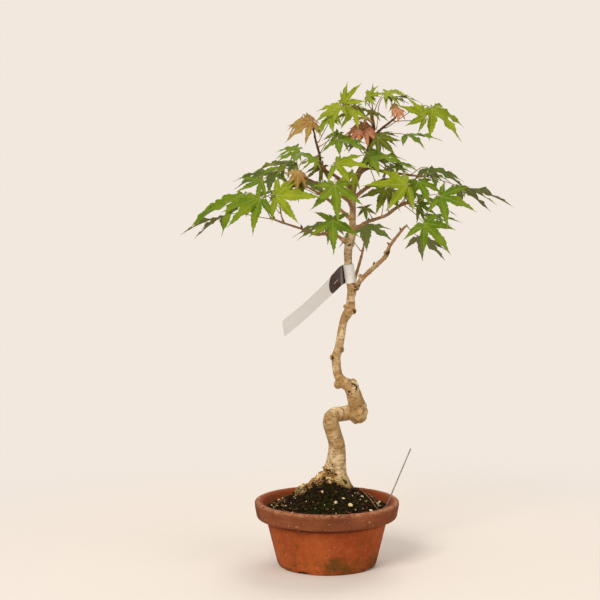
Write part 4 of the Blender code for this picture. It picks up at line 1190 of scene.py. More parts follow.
def bark_relief(piece, limbs, wood):
    """Raise the rings, lumps and scars of the bark, and note what the finish needs on each point."""
    scars = [(grown(*start), grown(*end), half * MM) for start, end, half in SCARS]
    burl = grown(*BURL)
    notes = []
    moves = []
    for vert in piece.data.vertices:
        at = vert.co
        radius, along = limbs.at(at)
        fat = min(1, radius / 0.007)
        broad = noise.noise(at * 75) * 0.00070 * fat + noise.noise(at * 200) * 0.00022
        bent = noise.noise(at * 160) * 0.0016 + noise.noise(at * 60) * 0.002
        ring = noise.noise(Vector((at.x * 55, at.y * 55, (along + bent) * 640)))
        broken = held(noise.noise(at * 130 + Vector((5, 5, 5))) * 3 + 0.75)
        groove = max(0, 0.13 - abs(ring)) / 0.13 * broken
        top = RIM_TOP + 0.017 + 0.028 * held((0.017 - at.x) / 0.014) + noise.noise(at * 110) * 0.012
        rough = held((top - at.z) / 0.007)
        knot = held(1 - ((at - burl).length - 0.0095) / 0.0045)
        lump = crack = 0
        if rough > 0 or knot > 0:
            jitter = Vector((noise.noise(at * 330), noise.noise(at * 310), 0))
            (first, second, *_), _ = noise.voronoi(at * 210 + jitter)
            lump = (0.42 - first) * 0.0040 * rough + (0.4 - first) * 0.0006 * knot
            crack = max(0, 1 - (second - first) / 0.20) * rough
            lump -= crack * 0.0008
            lump += noise.noise(at * 520) * (0.0005 * rough + 0.00022 * knot)
        # Cracks in the rough bark count as scars, so they too are darkened: painted shade.
        scar = max(near_scar(at, scars), crack * 0.8)
        wrinkle = groove * (1 - rough)
        depth = wrinkle * wood.ripple * (0.45 + fat) + 0.0007 * max(0, scar - 0.2) * (scar > 0) * fat
        moves.append(vert.normal * (broad + lump - depth + noise.noise(at * 1000) * 0.00005))
        notes.append((along, radius, scar, max(rough, knot * 0.45), wrinkle))
    for vert, move in zip(piece.data.vertices, moves):
        vert.co += move
    for name, values in zip(NOTES, zip(*notes)):
        piece.data.attributes.new(name, 'FLOAT', 'POINT').data.foreach_set("value", values)


def bark_finish(wood):
    """Pale smooth bark with brown rings, dark dots and scars, painted shade in its creases and cracks, rough
    and reddish at the soil.
    """
    finish, n = new_finish("bark")
    where = n.place()
    x, y, height = n.split(where)
    along, girth, scar, rough, line = (n.noted(name) for name in NOTES)
    shifted = n.plus(along, n.times(n.speckle(where, 150), 0.004))
    ringed = n.put("CombineXYZ", {0: n.times(x, 60.0), 1: n.times(y, 60.0),
                                  2: n.times(shifted, 620.0)}).outputs[0]
    rings = n.speckle(ringed, 1.0, 4, 0.6)
    broad = n.speckle(where, 48, 4, 0.6)
    fine = n.speckle(where, 420, 5, 0.65)
    grain = n.speckle(where, 230, 4, 0.6)

    tone = n.mix(n.between(broad, 0.40, 0.60), wood.bark, wood.bark_light)
    ochre = n.between(n.speckle(where, 85, 4), 0.47, 0.62, 0, 0.60)
    tone = n.mix(ochre, tone, (0.37, 0.19, 0.050, 1))
    olive = n.times(n.between(height, RIM_TOP + 0.11, RIM_TOP + 0.05),
                    n.between(n.speckle(where, 60, 3), 0.45, 0.62))
    tone = n.mix(n.times(olive, 0.40), tone, (0.33, 0.26, 0.06, 1))
    tone = n.mix(n.between(rings, 0.46, 0.34, 0, 0.70), tone, wood.bark_ring)
    tone = n.mix(n.between(rings, 0.58, 0.70, 0, 0.55), tone, wood.bark_light)
    tone = n.mix(n.between(line, 0.15, 0.9, 0, 0.70), tone, wood.bark_ring)
    tone = n.mix(n.between(grain, 0.50, 0.36, 0, 0.60), tone, (0.255, 0.140, 0.050, 1))
    dots = n.between(n.cells(where, 310), 0.24, 0.15)
    dots = n.times(dots, n.between(n.speckle(where, 90), 0.49, 0.57))
    tone = n.mix(n.times(dots, 0.85), tone, wood.scar)
    pits = n.between(n.cells(where, 620), 0.22, 0.12, 0, 0.45)
    tone = n.mix(pits, tone, wood.bark_ring)
    thin = n.between(girth, 0.0030, 0.0018, 0, 0.85)
    tone = n.mix(thin, tone, n.mix(n.between(fine, 0.4, 0.65), wood.twig, (0.36, 0.20, 0.085, 1)))
    high = n.between(height, RIM_TOP + 0.335, RIM_TOP + 0.375)
    dark = n.mix(n.between(broad, 0.42, 0.58), (0.19, 0.080, 0.035, 1), (0.070, 0.022, 0.012, 1))
    tone = n.mix(n.times(high, 0.88), tone, dark)
    crust = n.mix(n.between(fine, 0.36, 0.60), wood.damp, (0.44, 0.25, 0.075, 1))
    crust = n.mix(n.between(n.speckle(where, 130, 3), 0.50, 0.58), crust, (0.76, 0.54, 0.24, 1))
    tone = n.mix(n.times(rough, 0.88), tone, crust)
    uneven = n.plus(height, n.times(n.speckle(where, 150, 4), 0.016))
    earthy = n.between(uneven, RIM_TOP + 0.033, RIM_TOP + 0.021)
    tone = n.mix(n.times(earthy, 0.55), tone, wood.scar)
    # Dark scars and knots, and painted shade in the creases and cracks.
    tone = n.mix(n.between(scar, 0.25, 0.85, 0, 0.94), tone, wood.scar)
    tone = n.mix(n.between(fine, 0.56, 0.75, 0, 0.30), tone, wood.bark_light)

    bump = n.raised(rings, 0.00040, 0.6)
    bump = n.raised(fine, 0.00022, 0.8, bump)
    shine = n.between(fine, 0.3, 0.7, 0.60, 0.85)
    n.close(n.painted(tone, shine, bump, 0.06))
    return finish


class BONSAI_OT_wood(bpy.types.Operator):
    """Blend the roots, trunk and branches into one piece of wood"""
    bl_idname = "bonsai.wood"
    bl_label = "Wood"

    def execute(self, context):
        wood = context.scene.bonsai.wood
        parts = [limb(name, rows, 6) for name, rows in {**TRUNK, **ROOTS}.items()]
        parts += [limb(name, rows, 3) for name, rows in BRANCHES.items()]
        parts += [swelling(index, row) for index, row in enumerate(KNOBS)]
        piece = joined("trunk_wood", parts)
        modify(piece, 'REMESH', mode='VOXEL', voxel_size=wood.voxel, adaptivity=0)
        modify(piece, 'SMOOTH', factor=0.5, iterations=3)
        bark_relief(piece, LimbMap(), wood)
        modify(piece, 'DECIMATE', ratio=wood.kept)
        smooth(piece, 80)
        finish_piece(piece, SLOTS["trunk"], [bark_finish(wood)], "trunk")
        return {'FINISHED'}


class BONSAI_OT_buds(bpy.types.Operator):
    """Set the small dark buds on the twigs"""
    bl_idname = "bonsai.buds"
    bl_label = "Buds"

    def execute(self, context):
        wood = context.scene.bonsai.wood
        body = bmesh.new()
        for x, y, z, aim in BUDS:
            foot = grown(x, y, z)
            way = Vector(aim).normalized()
            bend = way.orthogonal().normalized() * 0.0004
            points = [foot + way * 0.0046 * t + bend * t * t for t in (0, 0.15, 0.35, 0.6, 0.8, 0.93, 1)]
            tube_into(body, points, [radius * MM for radius in (0.75, 1.05, 1.2, 1.0, 0.65, 0.3, 0.08)], 10)
        finish = speckled("buds", 500, 4, (0.35, 0.65), wood.scar, (0.22, 0.07, 0.035, 1), 0.5, (0.0003, 0.6))
        finish_piece(from_body("buds", body), SLOTS["trunk"], [finish])
        return {'FINISHED'}


# --------------------------------------------------------------------------- leaves

class Guide:
    """The points that a leaf's solid is drawn with: hub, lobes, and the line of its stalk."""

    def __init__(self, node):
        solid = copy_of(node, "leaf_guide")
        body = bmesh.new()
        body.from_mesh(solid.data)
        remove(solid)
        linked = {vert: {edge.other_vert(vert) for edge in vert.link_edges} for vert in body.verts}
        upper, lower = sorted(body.verts, key=lambda vert: len(linked[vert]))[-2:]
        self.hub = (upper.co + lower.co) / 2
        collar = sorted(linked[upper] & linked[lower], key=lambda vert: (vert.co - self.hub).length)[:2]
        fan = self.fan(upper, collar)
        self.bays = [vert.co.copy() for vert in fan[2:-2:2]]
        self.lobes = []
        lift = Vector()
        for above in fan[3:-3:2]:
            ring = self.around(above)
            start = ring.index(upper)
            ring = ring[start:] + ring[:start]
            left, tip, right = ring[2:5]
            if (ring[1].co - self.bays[len(self.lobes)]).length > 0.00001:
                left, right = right, left
            self.lobes.append((above.co.copy(), tip.co.copy(), left.co.copy(), right.co.copy()))
            lift += (left.co + right.co) / 2 - above.co
        self.basal = (fan[1].co.copy(), fan[-2].co.copy())
        self.top = (upper.co - lower.co).normalized()
        if lift.dot(self.top) < 0:
            self.top.negate()
        self.stalk = self.stalk_line(linked, [upper, collar[0], lower, collar[1]], set(fan))
        body.free()

    @staticmethod
    def around(vert):
        """The points round a point, in order."""
        after = {}
        for face in vert.link_faces:
            corners = list(face.verts)
            at = corners.index(vert)
            after[corners[(at + 1) % 3]] = corners[(at + 2) % 3]
        ring = [next(iter(after))]
        while len(ring) < len(after):
            ring.append(after[ring[-1]])
        return ring

    def fan(self, upper, collar):
        """The points round the hub, from one side of the stalk to the other, without the stalk's own."""
        ring = self.around(upper)
        start = ring.index(collar[0])
        ring = ring[start:] + ring[:start]
        end = ring.index(collar[1])
        one = ring[:end + 1]
        other = [ring[0]] + ring[end:][::-1]
        return one if len(one) > len(other) else other

    def stalk_line(self, linked, collar, blade):
        """The middle of each ring of the stalk, from the hub to the twig."""
        line = [self.hub.copy()]
        seen = set(collar) | blade
        for vert in list(blade):
            seen |= {other for other in linked[vert] if (other.co - self.hub).length > 0.002
                     and not set(linked[other]) & set(collar)}
        layer = set().union(*(linked[vert] for vert in collar)) - seen
        layer = {vert for vert in layer if len(linked[vert]) <= 7 and not linked[vert] & blade - set(collar)}
        while layer:
            line.append(sum((vert.co for vert in layer), Vector()) / len(layer))
            seen |= layer
            layer = set().union(*(linked[vert] for vert in layer)) - seen
        return line


# Rows of points across a lobe, before and after its bays, and where they lie from side to side
INNER_ROWS = 4
OUTER_ROWS = 30
COLUMNS = (-1, -0.72, -0.4, 0, 0.4, 0.72, 1)
# Teeth on a lobe's side, where it is widest, and its half width: a share of the solid's, or of its length
TEETH = 7
WIDEST_AT = 0.35
SOLID_WIDTH = 0.90
BASAL_WIDTH = 0.17


class Lobe:
    """One lobe of a blade, from the hub to its tip, between the bays on its two sides."""

    def __init__(self, hub, top, tip, bays, rib=None, half_width=None, seed=0):
        self.hub, self.top, self.tip, self.bays = hub, top, tip, bays
        self.length = (tip - hub).length
        span = (tip - hub).normalized()
        self.rib = rib or hub.lerp(tip, 0.4) + top * self.length * 0.03
        aside = span.cross(top).normalized()
        if (bays[1] - bays[0]).dot(aside) < 0:
            aside.negate()
        self.aside = aside
        self.bay_at = [max(0.05, (bay - hub).dot(span) / self.length) for bay in bays]
        self.bay_width = [abs((bay - hub - span * (bay - hub).dot(span)).dot(aside)) for bay in bays]
        self.widest = half_width * SOLID_WIDTH if half_width else self.length * BASAL_WIDTH
        self.draw = random.Random(seed)
        self.phase = self.draw.uniform(0, 9)
        self.sway = self.draw.uniform(-0.035, 0.035) * self.length
        self.curl = self.draw.uniform(-0.07, 0.02) * self.length

    def middle(self, t):
        """A point on the midrib."""
        handle = (self.rib - self.hub * 0.36 - self.tip * 0.16) / 0.48
        point = self.hub * (1 - t) ** 2 + handle * 2 * t * (1 - t) + self.tip * t * t
        late = max(0, t - 0.45) / 0.55
        return point + self.aside * self.sway * math.sin(math.pi * t) * t + self.top * self.curl * late ** 2.2

    def half_width(self, x, side, leaves):
        """Half the lobe's width past its bay, with forward-pointing teeth."""
        neck = self.bay_width[side] * (1 - x) ** 2.6
        full = max(0.0, self.widest - self.bay_width[side] * (1 - WIDEST_AT) ** 2.6)
        belly = full * x * (1 - x) ** 1.86 / 0.1572
        saw = (x * TEETH + self.phase * 0.1 * (side + 1)) % 1
        tooth = leaves.tooth * self.length * (saw ** 1.3 - 0.4) * min(1, x * 5) * min(1, (1 - x) * 4)
        return max(0.0, neck + belly + tooth * (1 - x * 0.35))

    def points(self, leaves):
        """Rows of points across the lobe, each with its place along and across, in metres."""
        rows = []
        for row in range(1, INNER_ROWS + OUTER_ROWS + 1):
            rows.append([self.point(row, across, leaves) for across in COLUMNS])
        return rows

    def point(self, row, across, leaves):
        """One point of the lobe, and its place along and across."""
        side = 0 if across < 0 else 1
        share = abs(across)
        start = sum(self.bay_at) / 2
        if row <= INNER_ROWS:
            inner = row / INNER_ROWS
            centre = self.middle(start * inner)
            edge = self.hub.lerp(self.bays[side], inner)
            dip = self.top * self.length * 0.010 * math.sin(math.pi * share) * inner
            return centre.lerp(edge, share) + dip, start * inner, share * (edge - centre).length
        x = (row - INNER_ROWS) / OUTER_ROWS
        t = start + (1 - start) * x
        width = self.half_width(x, side, leaves)
        centre = self.middle(t)
        way = self.aside * (1 if side else -1)
        bay = self.bays[side] - self.middle(start)
        reach = way * width
        leave = max(0, 1 - x * 4) ** 2
        straight = bay * (width / max(bay.length, 0.0001))
        reach = reach.lerp(straight, leave)
        fold = 0.34 * width * share
        wave = math.sin(t * 17 + self.phase + side * 2.1) * leaves.wave * width * share ** 2.2 * min(1, x * 3)
        pleat = -0.030 * width * math.sin(math.pi * share)
        lift = self.top * (fold * (1 - leave) + wave + pleat)
        return centre + reach * share + lift, t, share * width


def blade_into(body, guide, index, leaves):
    """Add a leaf's blade to a bmesh as one sheet, with its veins' coordinates."""
    along_map = body.loops.layers.uv.new("blade")
    share_map = body.loops.layers.uv.new("share")
    bays = guide.bays
    ends = []
    for tip, bay in ((guide.basal[0], bays[0]), (guide.basal[1], bays[-1])):
        span = tip - guide.hub
        inner = bay - guide.hub
        mirrored = inner - 2 * (inner - inner.project(span))
        ends.append(guide.hub - mirrored.lerp(span * (-0.2), 0.35) * -0.72)
    lobes = [Lobe(guide.hub, guide.top, guide.basal[0], (ends[0], bays[0]), seed=index * 9)]
    for number, (rib, tip, left, right) in enumerate(guide.lobes):
        lobes.append(Lobe(guide.hub, guide.top, tip, (bays[number], bays[number + 1]), rib,
                          (left - right).length / 2, index * 9 + number + 1))
    lobes.append(Lobe(guide.hub, guide.top, guide.basal[1], (bays[-1], ends[1]), seed=index * 9 + 7))
    hub = body.verts.new(guide.hub)
    for lobe in lobes:
        made = [[(hub, 0, 0)] * len(COLUMNS)]
        for row in lobe.points(leaves):
            made.append([(body.verts.new(point), along, across) for point, along, across in row])
        for low, high in zip(made, made[1:]):
            for part in range(len(COLUMNS) - 1):
                corners = [(low[part], part), (low[part + 1], part + 1), (high[part + 1], part + 1),
                           (high[part], part)]
                if low[part][0] is hub:
                    corners = corners[1:]
                face = body.faces.new([corner[0][0] for corner in corners])
                for loop, ((_, along, across), column) in zip(face.loops, corners):
                    sign = math.copysign(1, COLUMNS[column]) if COLUMNS[column] else 0
                    loop[along_map].uv = (along * lobe.length * 100, across * sign * 100)
                    loop[share_map].uv = (along, abs(COLUMNS[column]))
    bmesh.ops.remove_doubles(body, verts=body.verts, dist=0.000004)
    bmesh.ops.dissolve_degenerate(body, edges=body.edges, dist=0.000002)
    bmesh.ops.recalc_face_normals(body, faces=body.faces)
    if sum((face.normal for face in body.faces), Vector()).dot(guide.top) < 0:
        bmesh.ops.reverse_faces(body, faces=body.faces)


# Length of a piece of a leaf's stalk
STALK_STEP = 0.0022


def stalk_into(body, guide, limbs, leaves):
    """Add a leaf's stalk to a bmesh, from inside the twig to the hub."""
    line = guide.stalk[::-1]
    wood = limbs.nearest(line[0])
    under = guide.hub - guide.top * 0.00022
    end = guide.hub + (guide.hub - line[-2]).normalized() * 0.0016 - guide.top * 0.00045
    rows = [tuple(point) for point in (line[0].lerp(wood, 0.75), *line[:-1], under, end)]
    points = [Vector(row) for row in spline(rows, STALK_STEP)]
    last = len(points) - 1
    radii = []
    for at in range(last + 1):
        t = at / last
        foot = max(0, 1 - at * STALK_STEP / 0.006)
        radii.append(leaves.stalk * (1 + 0.9 * foot - 0.18 * t) * (0.35 if at == last else 1))
    tube_into(body, points, radii, 8, 2)


TONES = {
    # upper side, its deeper patches, light through it
    "leaf_green": ((0.205, 0.275, 0.010), (0.105, 0.190, 0.004), (0.44, 0.52, 0.008)),
    "leaf_lime": ((0.320, 0.370, 0.012), (0.200, 0.265, 0.009), (0.58, 0.60, 0.018)),
    "leaf_olive": ((0.200, 0.215, 0.012), (0.100, 0.132, 0.007), (0.42, 0.42, 0.015)),
    "leaf_bronze": ((0.440, 0.300, 0.075), (0.330, 0.150, 0.035), (0.66, 0.42, 0.070)),
    "leaf_salmon": ((0.640, 0.300, 0.150), (0.450, 0.150, 0.060), (0.85, 0.42, 0.18)),
}


def leaf_finish(slot, under):
    """A thin leaf: pale veins over a mottled ground, with light coming through."""
    upper, deep, glow = TONES[slot]
    finish, n = new_finish(f"{slot}_{'under' if under else 'upper'}")
    where = n.place()
    along, sideways, _ = n.mapped("blade")
    t, share_out, _ = n.mapped("share")
    across = n.size(sideways)

    broad = n.speckle(where, 42, 3, 0.5)
    fine = n.speckle(where, 650, 4, 0.6)
    tone = n.mix(n.between(broad, 0.36, 0.62), (*deep, 1), (*upper, 1))
    tone = n.mix(n.between(fine, 0.40, 0.66, 0, 0.30), tone, (*[value * 1.5 for value in upper], 1))
    slant = n.minus(n.times(along, 3.1), n.times(across, 3.6))
    slant = n.plus(slant, n.times(n.speckle(where, 120), 0.5))
    wave = n.size(n.minus(n.sums('FRACT', slant), 0.5))
    veins = n.times(n.between(wave, 0.085, 0.015), n.between(share_out, 0.95, 0.55))
    thick = n.plus(n.times(n.minus(1.0, t), 0.030), 0.010)
    rib = n.between(n.sums('DIVIDE', across, thick), 1.25, 0.65)
    pale = (*[min(1, value * 1.25 + 0.10) for value in upper], 1)
    tone = n.mix(n.times(veins, 0.42), tone, pale)
    tone = n.mix(n.times(rib, 0.85), tone, pale)
    tone = n.mix(n.between(t, 0.72, 1.0, 0, 0.30), tone, (*glow, 1))
    if under:
        tone = n.mix(0.45, tone, (*[value * 0.5 + 0.20 for value in upper], 1))

    ridges = n.sums('MAXIMUM', rib, n.times(veins, 0.6))
    height = n.minus(n.times(fine, 0.25), ridges)
    bump = n.raised(height, -0.00022 if under else 0.00022, 0.7)
    rough = 0.7 if under else n.between(fine, 0.3, 0.7, 0.40, 0.55)
    surface = n.painted(tone, rough, bump, 0.04 if under else 0.08)
    through = n.put("BsdfTranslucent", {"Color": n.mix(rib, (*glow, 1), tone)}).outputs["BSDF"]
    n.close(n.put("MixShader", {0: 0.34, 1: surface, 2: through}).outputs[0])
    return finish


def stalk_finish(leaves):
    """Thin reddish stalks that turn green at places."""
    finish, n = new_finish("stalks")
    where = n.place()
    broad = n.speckle(where, 26, 2)
    tone = n.mix(n.between(broad, 0.40, 0.62), leaves.stalk_colour, (0.30, 0.24, 0.045, 1))
    n.close(n.painted(tone, 0.45, n.raised(n.speckle(where, 700), 0.0001, 0.4), 0.2))
    return finish


# Young leaves: colour, then the hub and the middle lobe's tip as x, y, height above the rim, in millimetres
YOUNG = (("leaf_lime", (17, -4, 440), (37, -8, 461)), ("leaf_lime", (31, 2, 437), (13, -12, 418)),
         ("leaf_lime", (47, 0, 446), (50, -4, 463)), ("leaf_lime", (46, 0, 447), (61, -8, 449)),
         ("leaf_bronze", (-27, -5, 423), (-41, -10, 405)), ("leaf_bronze", (-23, -2, 427), (-10, -8, 413)),
         ("leaf_green", (12, -4, 408), (0, -16, 390)), ("leaf_lime", (16, -6, 403), (38, -14, 394)),
         ("leaf_salmon", (34, -6, 417), (28, -14, 396)), ("leaf_salmon", (39, -8, 419), (48, -14, 399)),
         ("leaf_olive", (55, -6, 407), (75, -14, 392)), ("leaf_lime", (7, -2, 431), (-10, -8, 409)),
         ("leaf_green", (-33, -4, 392), (-58, -10, 379)), ("leaf_lime", (-10, -8, 381), (-33, -16, 366)),
         ("leaf_green", (-49, -2, 370), (-76, -10, 361)), ("leaf_green", (-72, 0, 356), (-99, -6, 343)),
         ("leaf_olive", (-30, 4, 353), (-52, -4, 337)), ("leaf_green", (76, -4, 375), (99, -10, 365)),
         ("leaf_green", (87, -2, 353), (112, -8, 343)), ("leaf_olive", (65, 2, 342), (80, -4, 324)),
         ("leaf_lime", (28, -12, 364), (12, -20, 345)), ("leaf_bronze", (72, -2, 439), (78, -6, 426)),
         ("leaf_lime", (63, -2, 452), (92, -8, 446)), ("leaf_green", (-40, 40, 372), (-62, 57, 361)),
         ("leaf_olive", (30, 40, 395), (39, 64, 383)), ("leaf_green", (70, 30, 370), (94, 46, 358)),
         ("leaf_green", (0, 50, 350), (-9, 75, 338)), ("leaf_lime", (50, 20, 430), (61, 40, 419)),
         ("leaf_green", (45, -8, 388), (66, -18, 372)), ("leaf_olive", (-5, 6, 372), (-26, 2, 352)),
         ("leaf_green", (-84, -6, 338), (-108, -14, 322)), ("leaf_green", (100, -6, 330), (124, -14, 318)))
YOUNG_LOBES = ((-76, 0.58), (-38, 0.85), (0, 1.0), (38, 0.85), (76, 0.58))
YOUNG_WIDTH = 0.092


class Sprig:
    """A young leaf, drawn from its hub and the tip of its middle lobe."""

    def __init__(self, hub, tip, limbs, number):
        draw = random.Random(number)
        self.hub = grown(*hub)
        run = grown(*tip) - self.hub
        ahead = run.normalized()
        facing = Vector((draw.uniform(-0.5, 0.5), -0.5 if hub[1] < 20 else 0.4, draw.uniform(0.5, 0.9)))
        self.top = (facing - ahead * facing.dot(ahead)).normalized()
        aside = ahead.cross(self.top)

        def out(turn, share):
            angle = math.radians(turn)
            return self.hub + (ahead * math.cos(angle) + aside * math.sin(angle)) * run.length * share

        self.lobes = []
        for turn, share in YOUNG_LOBES:
            share *= draw.uniform(0.85, 1.08)
            end = out(turn + draw.uniform(-7, 7), share) - Vector((0, 0, abs(turn) * 0.0035 * run.length))
            rib = self.hub.lerp(end, 0.4) + self.top * run.length * 0.05
            half = aside * (end - self.hub).length * YOUNG_WIDTH
            self.lobes.append((rib, end, rib - half, rib + half))
        self.bays = [out(turn, 0.16) for turn in (-97, -57, -19, 19, 57, 97)]
        self.basal = (out(-126, 0.26), out(126, 0.26))
        wood = limbs.nearest(self.hub + Vector((0, 0, -0.012)))
        foot = wood + (self.hub - wood).normalized() * 0.002
        rise = Vector((0, 0, (foot - self.hub).length * 0.14))
        self.stalk = [self.hub.lerp(foot, t) + rise * math.sin(math.pi * t) for t in (0, 0.25, 0.5, 0.75, 1)]


class BONSAI_OT_leaves(bpy.types.Operator):
    """Draw each leaf finely over its solid: folded, toothed lobes on a thin stalk"""
    bl_idname = "bonsai.leaves"
    bl_label = "Leaves"

    def execute(self, context):
        leaves = context.scene.bonsai.leaves
        limbs = LimbMap()
        stalk = stalk_finish(leaves)
        finishes = {slot: (leaf_finish(slot, False), leaf_finish(slot, True), stalk) for slot in TONES}
        for index, node in enumerate(LEAF_NODES):
            piece = self.leaf(node.replace("leaf", "blade"), Guide(node), index, limbs, finishes[SLOTS[node]])
            finish_piece(piece, SLOTS[node], None, node)
        for index, (slot, hub, tip) in enumerate(YOUNG):
            sprig = Sprig(hub, tip, limbs, index)
            piece = self.leaf(f"young_{index + 1:02d}", sprig, len(LEAF_NODES) + index, limbs, finishes[slot])
            finish_piece(piece, slot, None)
        return {'FINISHED'}

    @staticmethod
    def leaf(name, guide, index, limbs, finishes):
        """One leaf: its blade, given thickness, and its stalk."""
        leaves = bpy.context.scene.bonsai.leaves
        body = bmesh.new()
        blade_into(body, guide, index, leaves)
        piece = from_body(name, body)
        for finish in finishes:
            piece.data.materials.append(finish)
        modify(piece, 'SOLIDIFY', thickness=leaves.thick, offset=-1, material_offset=1,
               material_offset_rim=1, use_even_offset=False)
        body = bmesh.new()
        body.from_mesh(piece.data)
        stalk_into(body, guide, limbs, leaves)
        body.to_mesh(piece.data)
        body.free()
        smooth(piece, 60)
        return piece


# --------------------------------------------------------------------------- tag and pin

# Towards the loose end of the tag, and the faces across its strip
TAIL_WAY = Vector((-0.56, -0.72, -0.41))
TAG_COLUMNS = 12


def tag_line():
    """The tag's middle line from its loose end on, and half its width, towards the lower edge there."""
    solid = copy_of("plant_tag", "tag_guide")
    body = bmesh.new()
    body.from_mesh(solid.data)
    remove(solid)
    layer = set(sorted(body.verts, key=lambda vert: vert.co.dot(TAIL_WAY))[-4:])
    seen = set()
    rows = []
    while layer:
        corners = sorted((vert.co.copy() for vert in layer), key=lambda co: -co.z)
        first = corners.pop()
        near = min(corners, key=lambda co: (co - first).length)
        corners.remove(near)
        one, other = (first + near) / 2, (corners[0] + corners[1]) / 2
        if rows and (one - rows[-1][0]).length > (other - rows[-1][0]).length:
            one, other = other, one
        rows.append((one, other))
        seen |= layer
        layer = {edge.other_vert(vert) for vert in layer for edge in vert.link_edges} - seen
    body.free()
    return [(*((one + other) / 2), *((one - other) / 2)) for one, other in rows]


def tag_finish(tag):
    """Pale plastic with a dark printed head and plain pale marks."""
    finish, n = new_finish("plant_tag")
    where = n.place()
    along, across, _ = n.mapped("strip")
    scuff = n.speckle(where, 160, 5, 0.7)
    tone = n.mix(n.between(scuff, 0.35, 0.75), tag.plastic, (0.84, 0.79, 0.72, 1))
    dust = n.between(n.speckle(where, 900, 3), 0.68, 0.76, 0, 0.20)
    tone = n.mix(dust, tone, (0.34, 0.28, 0.20, 1))

    bulge = n.times(n.sums('POWER', n.size(across), 2.6), 0.060)
    start = n.plus(bulge, tag.head_start * 10)
    stripe_start = tag.head_end * 10
    on = n.times(n.between(n.minus(along, start), -0.004, 0.004),
                 n.between(along, stripe_start + 0.004, stripe_start - 0.004))
    print_tone = n.mix(n.between(scuff, 0.4, 0.7, 0, 0.4), tag.print_dark, (0.085, 0.035, 0.022, 1))
    tone = n.mix(on, tone, print_tone)
    slanted = n.plus(along, n.times(across, 0.030))
    for middle, half in ((stripe_start - 0.155, 0.007), (stripe_start - 0.125, 0.004)):
        away = n.size(n.minus(slanted, middle))
        tone = n.mix(n.between(away, half + 0.003, half - 0.003, 0, 0.75), tone, tag.print_pale)
    mark_along = n.size(n.minus(along, tag.head_start * 10 + 0.150))
    mark_across = n.size(n.minus(across, 0.08))
    mark = n.times(n.between(mark_along, 0.050, 0.044), n.between(mark_across, 0.060, 0.045))
    tone = n.mix(n.times(mark, 0.85), tone, tag.print_pale)
    bump = n.raised(scuff, 0.00006, 0.4)
    n.close(n.painted(tone, n.between(scuff, 0.3, 0.7, 0.28, 0.45), bump, 0.5))
    return finish


class BONSAI_OT_tag(bpy.types.Operator):
    """Loop the plastic tag round the trunk"""
    bl_idname = "bonsai.tag"
    bl_label = "Tag"

    def execute(self, context):
        tag = context.scene.bonsai.tag
        rows = [(Vector(row[:3]), Vector(row[3:])) for row in spline(tag_line(), 0.0012)]
        body = bmesh.new()
        strip = body.loops.layers.uv.new("strip")
        made = []
        along = 0
        for index, (middle, half) in enumerate(rows):
            if index:
                along += (middle - rows[index - 1][0]).length
            corner = max(0, 1 - along / 0.0022)
            narrow = 1 - 0.16 * (1 - math.sqrt(1 - corner * corner * 0.999))
            shares = [-1 + 2 * part / TAG_COLUMNS for part in range(TAG_COLUMNS + 1)]
            made.append([(body.verts.new(middle + half * narrow * across), along * 10, across)
                         for across in shares])
        for low, high in zip(made, made[1:]):
            for part in range(TAG_COLUMNS):
                corners = (low[part], low[part + 1], high[part + 1], high[part])
                face = body.faces.new([corner[0] for corner in corners])
                for loop, (_, length_along, across) in zip(face.loops, corners):
                    loop[strip].uv = (length_along, across)
        piece = from_body("plant_tag_strip", body)
        modify(piece, 'SOLIDIFY', thickness=tag.thick, offset=0)
        smooth(piece, 50)
        finish_piece(piece, SLOTS["plant_tag"], [tag_finish(tag)], "plant_tag")
        return {'FINISHED'}


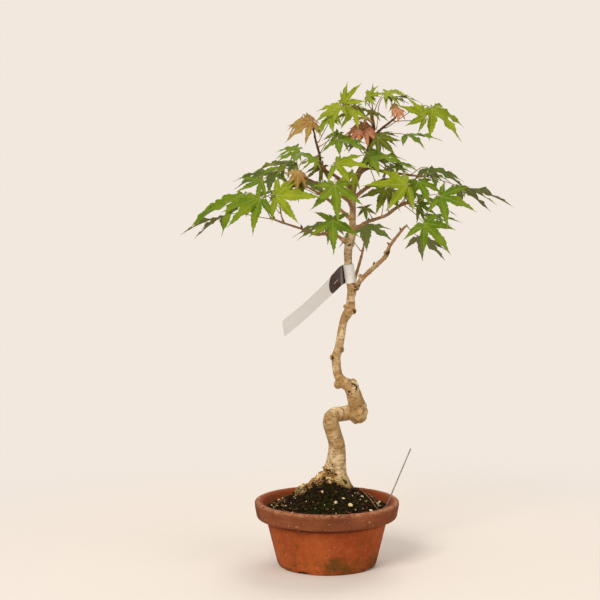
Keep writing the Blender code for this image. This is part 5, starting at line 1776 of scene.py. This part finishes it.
class BONSAI_OT_pin(bpy.types.Operator):
    """Stand the wire pin in the soil"""
    bl_idname = "bonsai.pin"
    bl_label = "Pin"

    def execute(self, context):
        pin = context.scene.bonsai.pin
        edge = pin.radius
        foot = Vector((PIN_LOW.x + edge, PIN_HIGH.y - edge, PIN_LOW.z + edge * 0.4))
        head = Vector((PIN_HIGH.x - edge, PIN_LOW.y + edge, PIN_HIGH.z - edge * 0.4))
        piece = primitive(bpy.ops.mesh.primitive_cylinder_add, "pin_wire", vertices=20, radius=pin.radius,
                          depth=(head - foot).length, location=(foot + head) / 2)
        piece.rotation_euler = (head - foot).to_track_quat('Z', 'Y').to_euler()
        settle(piece)
        modify(piece, 'BEVEL', width=pin.radius * 0.45, segments=3, limit_method='ANGLE')
        smooth(piece, 50)
        finish, n = new_finish("wire")
        fine = n.speckle(n.place(), 600, 4, 0.65)
        tone = n.mix(n.between(fine, 0.38, 0.66), pin.wire, (0.24, 0.19, 0.13, 1))
        rough = n.between(fine, 0.3, 0.7, 0.35, 0.6)
        n.close(n.painted(tone, rough, n.raised(fine, 0.0001, 0.5), 0.5, 0.65))
        finish_piece(piece, SLOTS["wire_pin"], [finish], "wire_pin")
        return {'FINISHED'}


# --------------------------------------------------------------------------- add-on

class BONSAI_PT_panel(bpy.types.Panel):
    """Lists the steps of the potted maple"""
    bl_idname = "BONSAI_PT_panel"
    bl_label = "Potted Bonsai Maple"
    bl_space_type = 'VIEW_3D'
    bl_region_type = 'UI'
    bl_category = "Bonsai"

    def draw(self, context):
        for step in STEPS:
            self.layout.operator(step.bl_idname)


STEPS = (BONSAI_OT_stage, BONSAI_OT_pot, BONSAI_OT_drain_mesh, BONSAI_OT_soil, BONSAI_OT_litter,
         BONSAI_OT_grit, BONSAI_OT_wood, BONSAI_OT_buds, BONSAI_OT_leaves, BONSAI_OT_tag, BONSAI_OT_pin)
SETTINGS = (BonsaiPot, BonsaiSoil, BonsaiWood, BonsaiLeaves, BonsaiTag, BonsaiPin, BonsaiStage,
            BonsaiSettings)


def register():
    for part in (*SETTINGS, *STEPS, BONSAI_PT_panel):
        bpy.utils.register_class(part)
    bpy.types.Scene.bonsai = PointerProperty(type=BonsaiSettings)


def unregister():
    del bpy.types.Scene.bonsai
    for part in reversed((*SETTINGS, *STEPS, BONSAI_PT_panel)):
        bpy.utils.unregister_class(part)


def main():
    """Make every piece in order."""
    register()
    for step in STEPS:
        getattr(bpy.ops.bonsai, step.bl_idname.split(".")[1])()


if __name__ == "__main__":
    main()
